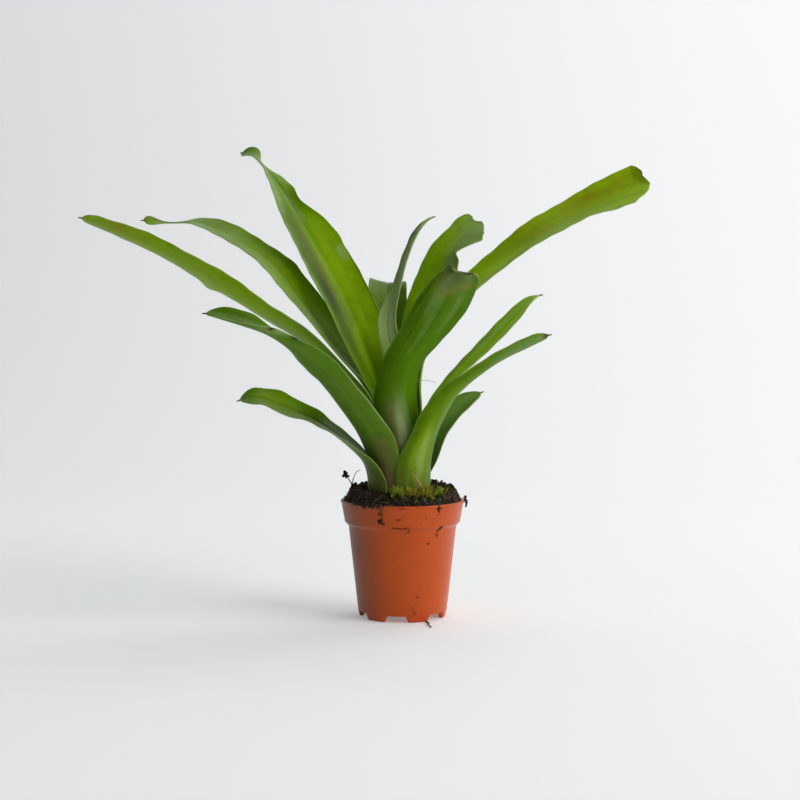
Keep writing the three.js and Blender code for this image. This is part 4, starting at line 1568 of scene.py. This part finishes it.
@dataclass
class Soil:
    """Peat heaped in the pot, with loose crumbs and fine roots on it.

    Args:
        edge_height: of the heap at the rim.
        rise: how far it stands above that inside the rim.
        shoulder: breadth of the slope between the two.
        back_lift: how much higher than its middle it is at the back rim.
        lump: height of each of its three waves.
        rim: radius of the pot's rim.
        outer: radius of the heap.
        rim_reach: the radius at which its slope starts.
        floor: height of its underside.
        floor_radius: radius of its underside.
        hub: radius of its innermost ring.
        rings: how many rings lie over the heap.
        columns: points round it.
        crumbs: how many lie on it.
        roots: how many lie on it.
        root_reach: how far from the axis they may reach.
        seed: which draw scatters them.
    """

    edge_height: float = 52.3
    rise: float = 4.4
    shoulder: float = 4.0
    back_lift: float = 2.0
    lump: float = 0.45
    rim: float = 27.5
    outer: float = 25.8
    rim_reach: float = 26.3
    floor: float = 4.5
    floor_radius: float = 17.7
    hub: float = 0.4
    rings: int = 100
    columns: int = 260
    crumbs: int = 950
    roots: int = 46
    root_reach: float = 26.4
    seed: int = 11

    def top(self, x: np.ndarray, y: np.ndarray) -> np.ndarray:
        """Works out the heap's height: a shoulder inside the rim, a lift to the back and three sine waves.

        Args:
            x: places across the pot.
            y: places from front to back.

        Returns:
            The height at each.
        """
        radius = np.hypot(x, y)
        rise = smoothstep(self.rim_reach - radius, 0, self.shoulder)
        waves = np.sin(1.1 * x + 0.7 * y) + np.sin(0.9 * y - 0.5 * x + 2) + np.sin(1.7 * x - 1.2 * y + 4)
        return self.edge_height + rise * (self.rise + self.lump * waves + self.back_lift * y / self.rim)

    def heap(self) -> Patch:
        """Works out the peat's skin: rings from its underside up the pot's wall and in over the heap.

        Returns:
            Its patch.
        """
        angle = np.linspace(0, 2 * math.pi, self.columns, endpoint=False)
        foot = (self.floor_radius, self.floor)
        wall = np.array([foot, (22.3, 41.0), (24.0, 43.0), (self.outer - 0.1, 50.5)])
        inner = np.linspace(self.outer, self.hub, self.rings)
        radius = np.concatenate([[self.hub], wall[:, 0], inner])
        radius = np.repeat(radius[:, None], len(angle), axis=1)
        x, y = radius * np.cos(angle), radius * np.sin(angle)
        height = self.top(x, y)
        height[0] = self.floor
        height[1:5] = wall[:, 1:]
        points = np.stack([x, y, height], axis=-1)
        rough = lumps(points, 3.2, 21, 4) * 0.55 + np.abs(lumps(points, 1.5, 22, 3)) * 0.5 - 0.3
        rough = rough * smoothstep(self.outer + 0.6 - radius, 0, 1.5)
        rough[:5] = 0
        points[..., 2] += rough
        faces = Patch.grid_faces(len(radius), len(angle), wrap=True)
        return Patch(points.reshape(-1, 3), [faces])

    def crumb(self, place: np.ndarray, size: float, random: np.random.Generator) -> Patch:
        """One crumb: a small ball pushed in and out along seeded directions.

        Args:
            place: its middle.
            size: its mean radius.
            random: the source of its form.

        Returns:
            Its patch.
        """
        ball, faces = unit_ball()
        stretch = random.uniform(0.6, 1.2, 3)
        dents = 1 + 0.35 * np.sin(ball @ random.normal(size=(3, 3)) * 2.2 + random.uniform(0, 6, 3)).mean(-1)
        return Patch(place + ball * stretch * dents[:, None] * size, [faces])

    def crumb_patch(self) -> Patch:
        """Scatters crumbs over the heap by a seeded draw, small ones most often.

        Returns:
            All crumbs in one patch.
        """
        random = np.random.default_rng(self.seed)
        found = []
        for _ in range(self.crumbs):
            radius = self.outer * math.sqrt(random.uniform(0.12, 1.0)) + random.uniform(-0.2, 0.4)
            angle = random.uniform(0, 2 * math.pi)
            size = 0.28 + 0.75 * random.uniform() ** 3
            x, y = radius * math.cos(angle), radius * math.sin(angle)
            place = np.array([x, y, float(self.top(x, y)) + size * 0.35])
            found.append(self.crumb(place, size, random))
        return Patch.joined(found)

    def root_patch(self) -> Patch:
        """Scatters thread-like roots: short arcs that lie on the heap, bowed sideways and up.

        Returns:
            All roots in one patch.
        """
        random = np.random.default_rng(self.seed + 1)
        found = []
        for _ in range(self.roots):
            radius = random.uniform(15, 25.5)
            angle = random.uniform(0, 2 * math.pi)
            heading = random.uniform(0, 2 * math.pi)
            reach = random.uniform(3, 9)
            bow = random.uniform(-2, 2)
            share = np.linspace(-0.5, 0.5, 12)
            ahead = reach * share
            aside = bow * share**2 * 4
            x = radius * math.cos(angle) + ahead * math.cos(heading) - aside * math.sin(heading)
            y = radius * math.sin(angle) + ahead * math.sin(heading) + aside * math.cos(heading)
            pull = np.minimum(1.0, self.root_reach / np.hypot(x, y))
            x, y = x * pull, y * pull
            lift = self.top(x, y) + 0.35 + 0.8 * np.cos(math.pi * share) * random.uniform(0, 1)
            thickness = random.uniform(0.07, 0.17)
            found.append(tube(np.stack([x, y, lift], axis=1), np.full(12, thickness), 6))
        return Patch.joined(found)

    def build(self) -> None:
        """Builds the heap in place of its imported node, with crumbs and roots on it."""
        peat = EarthFinish().make()
        heap = self.heap().build("soil_heap", peat, 0.01)
        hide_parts("soil")
        dry = EarthFinish("peat_crumb", light=(0.075, 0.042, 0.024)).make()
        crumbs = self.crumb_patch().build("soil_crumbs", dry)
        thread = FibreFinish("root", (0.09, 0.05, 0.028), (0.2, 0.13, 0.08)).make()
        roots = self.root_patch().build("soil_roots", thread)


def unit_ball() -> tuple[np.ndarray, np.ndarray]:
    """Works out a ball of radius 1: an icosahedron with each face cut in four.

    Returns:
        Its points, and the corner numbers of its faces.
    """
    golden = (1 + math.sqrt(5)) / 2
    base = [(a, b * golden) for a in (-1, 1) for b in (-1, 1)]
    points = [(0, a, b) for a, b in base] + [(a, b, 0) for a, b in base] + [(b, 0, a) for a, b in base]
    points = unit(np.array(points, float))
    gaps = np.linalg.norm(points[:, None] - points[None], axis=-1)
    near = gaps < 1.2
    faces = [
        (i, j, k) for i in range(12) for j in range(i + 1, 12) for k in range(j + 1, 12)
        if near[i, j] and near[j, k] and near[i, k]
    ]
    corners = points[np.array(faces)]
    inwards = np.linalg.det(corners) < 0
    corners[inwards] = corners[inwards][:, ::-1]
    a, b, c = corners[:, 0], corners[:, 1], corners[:, 2]
    ab, bc, ca = unit(a + b), unit(b + c), unit(c + a)
    quarters = np.concatenate([
        np.stack([a, ab, ca], axis=1), np.stack([ab, b, bc], axis=1),
        np.stack([ca, bc, c], axis=1), np.stack([ab, bc, ca], axis=1),
    ])
    flat, index = np.unique(quarters.reshape(-1, 3).round(6), axis=0, return_inverse=True)
    return flat, index.reshape(-1, 3)


@dataclass
class Moss:
    """A cushion of moss at the front right of the soil: a low dome with sprigs set round with leaflets.

    Args:
        start: compass angle of its left end, in degrees.
        stop: compass angle of its right end.
        inner: least distance from the pot's axis.
        outer: greatest distance from it.
        depth: how far the dome rises.
        bed: how deep its edge lies in the soil.
        belly: how far its underside sags below its edge.
        rows: points across the dome.
        columns: points along it.
        clumps: how many tufts it has.
        sprigs: how many sprigs a tuft has.
        leaflets: how many leaflets a sprig has.
        leaflet_turn: the angle from one leaflet to the next, in radians.
        leaflet_half: a leaflet's half-breadth and half-thickness.
        rusty: where most sprigs have turned.
        rusty_reach: how far from there.
        seed: which draw scatters the sprigs.
        finish: their finish.
    """

    start: float = -102.0
    stop: float = -42.0
    inner: float = 16.0
    outer: float = 24.3
    depth: float = 0.9
    bed: float = 0.5
    belly: float = 0.3
    rows: int = 24
    columns: int = 60
    clumps: int = 44
    sprigs: int = 10
    leaflets: int = 14
    leaflet_turn: float = 2.4
    leaflet_half: tuple[float, float] = (0.15, 0.04)
    rusty: tuple[float, float] = (7.5, -19.5)
    rusty_reach: float = 7.0
    seed: int = 7
    finish: MossFinish = MossFinish()

    def cushion(self, soil: Soil) -> Patch:
        """Works out what lies under the sprigs: a closed dome over a ring's sector, thin at its edge.

        Args:
            soil: what it lies on.

        Returns:
            Its patch.
        """
        angle = np.radians(np.linspace(self.start, self.stop, self.columns))
        radius = np.linspace(self.inner, self.outer, self.rows)[:, None]
        x, y = radius * np.cos(angle), radius * np.sin(angle)
        share = (radius - self.inner) / (self.outer - self.inner)
        along = np.linspace(0, 1, self.columns)[None, :]
        dome = (np.sin(math.pi * share) * np.sin(math.pi * along)) ** 0.4
        level = soil.top(x, y) - self.bed
        points = np.stack([x, y, level + self.depth * dome], axis=-1)
        points[..., 2] += 0.5 * lumps(points, 2.2, 31) * dome
        under = np.stack([x, y, level - self.belly * dome], axis=-1)
        points = np.concatenate([points.reshape(-1, 3), under.reshape(-1, 3)])
        fields = {"share": np.zeros(len(points)), "rust": np.full(len(points), 0.2)}
        lower = Patch.grid_faces(self.rows, self.columns)
        return Patch(points, [lower[:, ::-1], lower + len(points) // 2], fields)

    def sprig(
        self, place: np.ndarray, lean: np.ndarray, height: float, random: np.random.Generator
    ) -> Patch:
        """One sprig: a bent thread with flattened, pointed leaflets spiralling up it.

        Args:
            place: its foot.
            lean: sideways travel of its tip.
            height: of its tip above the foot.
            random: the source of its leaflets' turns.

        Returns:
            Its patch.
        """
        share = np.linspace(0, 1, 5)[:, None]
        line = place + lean * share**1.5 + np.array([0, 0, height]) * share
        stem = tube(line, np.full(5, 0.09), 4)
        turn = np.arange(self.leaflets) * self.leaflet_turn + random.uniform(0, 6)
        half_breadth, half_thickness = self.leaflet_half
        level = np.linspace(0.1, 1.0, self.leaflets)
        foot = place + lean * level[:, None] ** 1.5 + np.array([0, 0, height]) * level[:, None]
        reach = random.uniform(0.7, 1.2) * (1.2 - 0.5 * level)
        out = np.stack([np.cos(turn), np.sin(turn), np.full(self.leaflets, 0.6)], axis=1) * reach[:, None]
        side = np.stack([-np.sin(turn), np.cos(turn), np.zeros(self.leaflets)], axis=1) * half_breadth
        bulge = unit(np.cross(out, side)) * half_thickness
        middle = foot + out * 0.5
        corners = [foot, middle + side, foot + out, middle - side, middle + bulge, middle - bulge]
        points = np.stack(corners, axis=1).reshape(-1, 3)
        ring = np.array([(0, 1), (1, 2), (2, 3), (3, 0)])
        form = np.vstack([np.insert(ring, 2, 4, axis=1), np.insert(ring[:, ::-1], 2, 5, axis=1)])
        faces = (np.arange(self.leaflets)[:, None, None] * len(corners) + form).reshape(-1, 3)
        tips = np.tile([0.0, 0.15, 0.35, 0.15, 0.15, 0.15], self.leaflets)
        leaflets = Patch(points, [faces], {"share": np.repeat(level * 0.7, len(corners)) + tips})
        return Patch.joined([stem, leaflets])

    def build(self, soil: Soil) -> None:
        """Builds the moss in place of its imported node.

        Args:
            soil: what it lies on.
        """
        random = np.random.default_rng(self.seed)
        made = [self.cushion(soil)]
        for _ in range(self.clumps):
            angle = math.radians(random.uniform(self.start, self.stop))
            radius = random.uniform(self.inner + 0.6, self.outer - 0.6)
            tuft = np.array([radius * math.cos(angle), radius * math.sin(angle)])
            tall = random.uniform(1.4, 3.8)
            for _ in range(self.sprigs):
                spread = random.normal(size=2)
                x, y = tuft + 0.45 * spread
                foot = np.array([x, y, float(soil.top(x, y)) + 0.2])
                lean = np.append(spread * random.uniform(0.5, 1.4), 0.0)
                sprig = self.sprig(foot, lean, tall * random.uniform(0.5, 1.2), random)
                near = math.exp(-(math.dist((x, y), self.rusty) / self.rusty_reach) ** 2)
                sprig.fields["rust"] = np.full(len(sprig.points), random.uniform() * (0.45 + 0.7 * near))
                sprig.fields["share"] = sprig.fields["share"] * random.uniform(0.4, 1.2)
                made.append(sprig)
        piece = Patch.joined(made).build("moss_cushion", self.finish.make(), 0.002)
        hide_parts("moss")


@dataclass(frozen=True)
class Smudge:
    """Crumbs that stick to the pot's wall round one spot.

    Args:
        angle: compass angle of the spot, in degrees.
        height: of the spot, in millimetres.
        across: how far the crumbs scatter round the pot, in degrees.
        up: how far they scatter up and down, in millimetres.
        size: mean radius of a crumb, in millimetres.
        count: of crumbs.
        off: how far the crumbs' middles stand off the wall, in millimetres.
    """

    angle: float
    height: float
    across: float
    up: float
    size: float
    count: int
    off: float = 0.1


# The soiled spots of the pot's wall.
SMUDGES = (
    Smudge(-110.8, 44.8, 1.2, 0.7, 0.42, 16, 0.45), Smudge(-110.2, 48, 1.0, 1.6, 0.26, 22, 0.4),
    Smudge(-54.4, 50.4, 1.2, 0.5, 0.3, 14, 0.2), Smudge(-53.8, 49.2, 0.5, 0.5, 0.26, 7, 0.1),
    Smudge(-91, 42.1, 3.5, 0.15, 0.22, 24), Smudge(-97.5, 42.2, 1.5, 0.15, 0.2, 8),
    Smudge(-49, 41.3, 1.2, 0.9, 0.28, 14), Smudge(-52, 38.6, 1, 0.7, 0.2, 6),
    Smudge(-62, 35.2, 0.6, 0.3, 0.22, 3), Smudge(-77, 6, 2, 2.2, 0.18, 14),
    Smudge(-71, 10.5, 2.5, 2.5, 0.13, 12), Smudge(-90.5, 51.1, 2.4, 0.15, 0.2, 9),
    Smudge(-94.5, 45.7, 1.3, 0.3, 0.2, 9), Smudge(-85.4, 40.3, 0.9, 0.3, 0.22, 5),
    Smudge(-96, 36, 60, 9, 0.1, 60), Smudge(-75, 47, 14, 2, 0.12, 18),
    Smudge(-121, 51.9, 7, 0.5, 0.45, 44, 0.15), Smudge(-137, 52, 4, 0.4, 0.4, 16, 0.1),
    Smudge(-7, 52.6, 3, 0.8, 0.5, 18, 0.9), Smudge(-9, 50.6, 1.4, 0.7, 0.42, 9, 1.6),
)

# Root threads that hang over the pot's rim: compass angle in degrees, height and distance off the wall.
ROOTS = (
    ((-110, 52.6, -0.6), (-110.6, 50.4, 0.5), (-109.6, 47.6, 0.45), (-110.8, 45, 0.4), (-110.2, 43.4, 0.7)),
    ((-136, 52.8, -0.4), (-132, 51.7, 0.4), (-125, 50.7, 0.5), (-118, 51.6, 0.4), (-112, 52.4, 0.1)),
    ((-126, 52.7, -0.3), (-122.5, 51.2, 0.5), (-114, 50.9, 0.5), (-106, 51.9, 0.4), (-98, 52.6, -0.3)),
    ((-118, 52.8, -0.5), (-115.5, 51.4, 0.6), (-110, 49.7, 0.6), (-104, 49.9, 0.5)),
    ((-145, 52.7, -0.3), (-141, 51.6, 0.4), (-137, 51.9, 0.5), (-133, 52.6, 0)),
    ((-54, 52.6, -0.3), (-54.6, 51.4, 0.3), (-54, 49.4, 0.3)),
)


@dataclass
class Litter:
    """Small things on the plant: the scrap of bark, the seedling, dirt on the pot and a stray hair.

    Args:
        twig: the course of the scrap of bark, upwards.
        left_shoot: the course of the seedling's shoot that carries crumbs.
        right_shoot: the course of the one that ends in a leaflet.
        stray_root: the course of the root that lies beside the pot's foot.
        hair: the course of the hair.
        dirt_seed: which draw scatters the dirt.
        clump: how far the crumbs on the left shoot scatter across, in depth and up.
        clump_crumbs: how many they are.
        clump_seed: which draw scatters them.
    """

    twig: Line = ((10, -17.5, 54.5), (8.2, -16.2, 59.5), (6.4, -14.7, 62.5), (4.6, -14.2, 65.2))
    left_shoot: Line = ((-22.4, 2, 53.5), (-22.9, 2, 59), (-24.2, 1.8, 61), (-25.4, 1.6, 63.4))
    right_shoot: Line = ((-22.7, 2, 57.5), (-21.8, 2, 61.5), (-20.4, 2, 64.2))
    stray_root: Line = (
        (10.2, -17.6, 0.5), (11.4, -21, 0.4), (11, -25, 0.5), (12.2, -28.5, 0.4), (11.8, -31, 0.4),
    )
    hair: Line = ((6.6, -19.5, 105.4), (9.5, -20, 105.9), (12.6, -20.5, 105.5), (14.4, -21, 104.6))
    dirt_seed: int = 9
    clump: tuple[float, float, float] = (0.55, 0.4, 0.95)
    clump_crumbs: int = 14
    clump_seed: int = 5

    @staticmethod
    def fine(line: Line, count: int) -> np.ndarray:
        """Returns a smooth line of count places through the given points."""
        return centripetal(np.array(line, float), np.linspace(0, 1, count))

    def bark(self) -> Patch:
        """Works out the scrap of bark: a flattened tube of wavy width that narrows upwards.

        Returns:
            Its patch.
        """
        line = self.fine(self.twig, 24)
        share = np.linspace(0, 1, 24)
        radius = 0.55 * (1 - 0.75 * share**2) * (1 + 0.15 * np.sin(share * 19))
        return tube(line, radius, 12, 0.45)

    def seedling(self) -> Patch:
        """Works out the two shoots: thin tubes, and a leaflet at the end of the right one.

        Returns:
            All three in one patch.
        """
        share = np.linspace(0, 1, 26)
        left = tube(self.fine(self.left_shoot, 26), 0.3 - 0.1 * share, 8)
        right = tube(self.fine(self.right_shoot, 26), 0.24 - 0.08 * share, 8)
        end = np.array(self.right_shoot[-1], float)
        reach = np.linspace(-0.3, 1, 12)[:, None]
        blade = end + reach * np.array([1.5, 0.1, 0.7])
        leaflet = tube(blade, 0.05 + 0.55 * np.sin(np.linspace(0.1, math.pi, 12)), 10, 0.3)
        return Patch.joined([left, right, leaflet])

    def dirt(self, pot: Pot, soil: Soil) -> None:
        """Sticks crumbs to the pot's wall by a seeded draw and hangs root threads over its rim.

        Args:
            pot: whose wall carries them.
            soil: whose crumbs they are.
        """
        random = np.random.default_rng(self.dirt_seed)
        made = []
        for smudge in SMUDGES:
            angle = smudge.angle + smudge.across * random.normal(size=smudge.count)
            height = smudge.height + smudge.up * random.normal(size=smudge.count)
            size = smudge.size * random.uniform(0.5, 1.5, smudge.count)
            places = pot.on_wall(angle, np.clip(height, 2.0, 53.5), np.full(smudge.count, smudge.off))
            made += [soil.crumb(place, radius, random) for place, radius in zip(places, size)]
        crumbs = Patch.joined(made).build("pot_crumbs", bpy.data.materials["peat_crumb"])
        threads = []
        for root in ROOTS:
            angle, height, off = self.fine(root, 30).T
            line = pot.on_wall(angle, height, off + 0.15 * np.sin(np.arange(30) * 1.3))
            threads.append(tube(line, np.linspace(0.2, 0.09, 30), 6))
        threads.append(tube(self.fine(self.stray_root, 26), np.linspace(0.45, 0.2, 26), 8))
        roots = Patch.joined(threads).build("pot_roots", bpy.data.materials["root"])

    def build(self, pot: Pot, soil: Soil) -> None:
        """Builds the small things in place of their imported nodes, and the dirt.

        Args:
            pot: whose wall carries dirt.
            soil: whose crumbs lie on them.
        """
        self.dirt(pot, soil)
        hair = tube(self.fine(self.hair, 30), np.linspace(0.14, 0.08, 30), 6)
        grey = FibreFinish("hair", (0.3, 0.31, 0.3), (0.45, 0.45, 0.42), 0.6)
        strand = hair.build("stray_hair", grey.make())
        dry = FibreFinish("bark", (0.28, 0.14, 0.05), (0.56, 0.33, 0.15), 0.8)
        bark = self.bark().build("bark_scrap", dry.make())
        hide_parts("twig")
        green = FibreFinish("shoot", (0.13, 0.15, 0.03), (0.32, 0.42, 0.09), 0.5)
        shoots = self.seedling().build("seedling_shoots", green.make())
        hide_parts("seedling")
        random = np.random.default_rng(self.clump_seed)
        end = np.array(self.left_shoot[-1], float)
        places = end + random.normal(size=(self.clump_crumbs, 3)) * np.array(self.clump)
        made = [soil.crumb(place, random.uniform(0.4, 0.85), random) for place in places]
        crumbs = Patch.joined(made).build("seedling_crumbs", bpy.data.materials["peat_crumb"])


@dataclass
class Studio:
    """The floor and wall in one pale sweep, the lights and the camera.

    Args:
        camera: the camera's place from the pot's axis, in millimetres.
        pitch: how far it looks down, in degrees.
        lens: its focal length, in millimetres.
        sensor: the width of its sensor, in millimetres.
        wall_distance: from the pot's axis to the wall.
        sweep: radius of the quarter circle between floor and wall.
        wall_height: of the wall's top.
        half_width: of the floor and the wall.
        front: where the floor ends in front.
        pale: their colour.
        glow: how much light they give off by themselves.
        aim: the height that the lights face.
    """

    camera: tuple[float, float, float] = (-1.11, -700.0, 133.0)
    pitch: float = 3.0
    lens: float = 71.0
    sensor: float = 36.0
    wall_distance: float = 900.0
    sweep: float = 500.0
    wall_height: float = 2200.0
    half_width: float = 2400.0
    front: float = -2000.0
    pale: Colour = (0.8, 0.81, 0.82)
    glow: float = 0.26
    aim: float = 110.0

    def add_camera(self) -> None:
        """Sets the camera where the photograph was taken from."""
        data = bpy.data.cameras.new("camera")
        data.lens = self.lens
        data.sensor_width = self.sensor
        eye = bpy.data.objects.new("camera", data)
        eye.location = Vector(np.array(self.camera) * MILLIMETRE + pot_axis())
        eye.rotation_euler = (math.radians(90 - self.pitch), 0, 0)
        bpy.context.scene.collection.objects.link(eye)
        bpy.context.scene.camera = eye

    def add_sweep(self) -> None:
        """Builds floor and wall as one sheet: level, then a quarter circle, then upright."""
        turn = np.linspace(0, math.pi / 2, 40)
        bend_y = self.wall_distance - self.sweep + self.sweep * np.sin(turn)
        bend_z = self.sweep * (1 - np.cos(turn))
        y = np.concatenate([[self.front], bend_y, [self.wall_distance]])
        z = np.concatenate([[0.0], bend_z, [self.wall_height]])
        x = np.array([-self.half_width, self.half_width])
        grid = np.stack(np.broadcast_arrays(x[None, :], y[:, None], z[:, None]), axis=-1)
        mesh = bpy.data.meshes.new("sweep")
        points = grid.reshape(-1, 3) * MILLIMETRE + pot_axis()
        mesh.from_pydata(points.tolist(), [], Patch.grid_faces(len(y), 2).tolist())
        mesh.polygons.foreach_set("use_smooth", np.ones(len(mesh.polygons), bool))
        shader = Shader("studio_paper")
        shader.set(Base_Color=self.pale, Roughness=0.95, Specular_IOR_Level=0.1)
        shader.set(Emission_Color=self.pale, Emission_Strength=self.glow)
        mesh.materials.append(shader.material)
        sheet = bpy.data.objects.new("sweep", mesh)
        bpy.context.scene.collection.objects.link(sheet)

    def add_light(
        self, name: str, place: tuple[float, float, float], size: float, power: float, colour: Colour
    ) -> None:
        """Adds a square soft light that faces the plant.

        Args:
            name: of the light.
            place: from the pot's axis, in millimetres.
            size: of its side, in millimetres.
            power: in watts.
            colour: of its light.
        """
        data = bpy.data.lights.new(name, "AREA")
        data.shape = "SQUARE"
        data.size = size * MILLIMETRE
        data.energy = power
        data.color = colour
        lamp = bpy.data.objects.new(name, data)
        lamp.location = Vector(np.array(place) * MILLIMETRE + pot_axis())
        target = Vector(np.array([0.0, 0.0, self.aim]) * MILLIMETRE + pot_axis())
        lamp.rotation_euler = (target - lamp.location).to_track_quat("-Z", "Y").to_euler()
        bpy.context.scene.collection.objects.link(lamp)

    def build(self) -> None:
        """Sets up the sweep, the lights and the even light of the room."""
        self.add_sweep()
        self.add_light("window", (1068.0, -498.0, 660.0), 1000.0, 12.0, (1.0, 0.98, 0.95))
        self.add_light("skylight", (500.0, 500.0, 1200.0), 700.0, 3.5, (1.0, 1.0, 0.98))
        world = bpy.data.worlds.new("room")
        world.use_nodes = True
        background = world.node_tree.nodes["Background"]
        background.inputs["Color"].default_value = (0.92, 0.96, 1.0, 1.0)
        background.inputs["Strength"].default_value = 0.25
        bpy.context.scene.world = world
        bpy.context.scene.view_settings.view_transform = "Standard"


def main() -> None:
    """Builds the studio, then the pot and what stands in it, and reports each piece."""
    studio = Studio()
    studio.add_camera()
    studio.build()
    pot = Pot()
    pot.build()
    soil = Soil()
    soil.build()
    Moss().build(soil)
    Litter().build(pot, soil)
    Rosette().build()


if __name__ == "__main__":
    main()
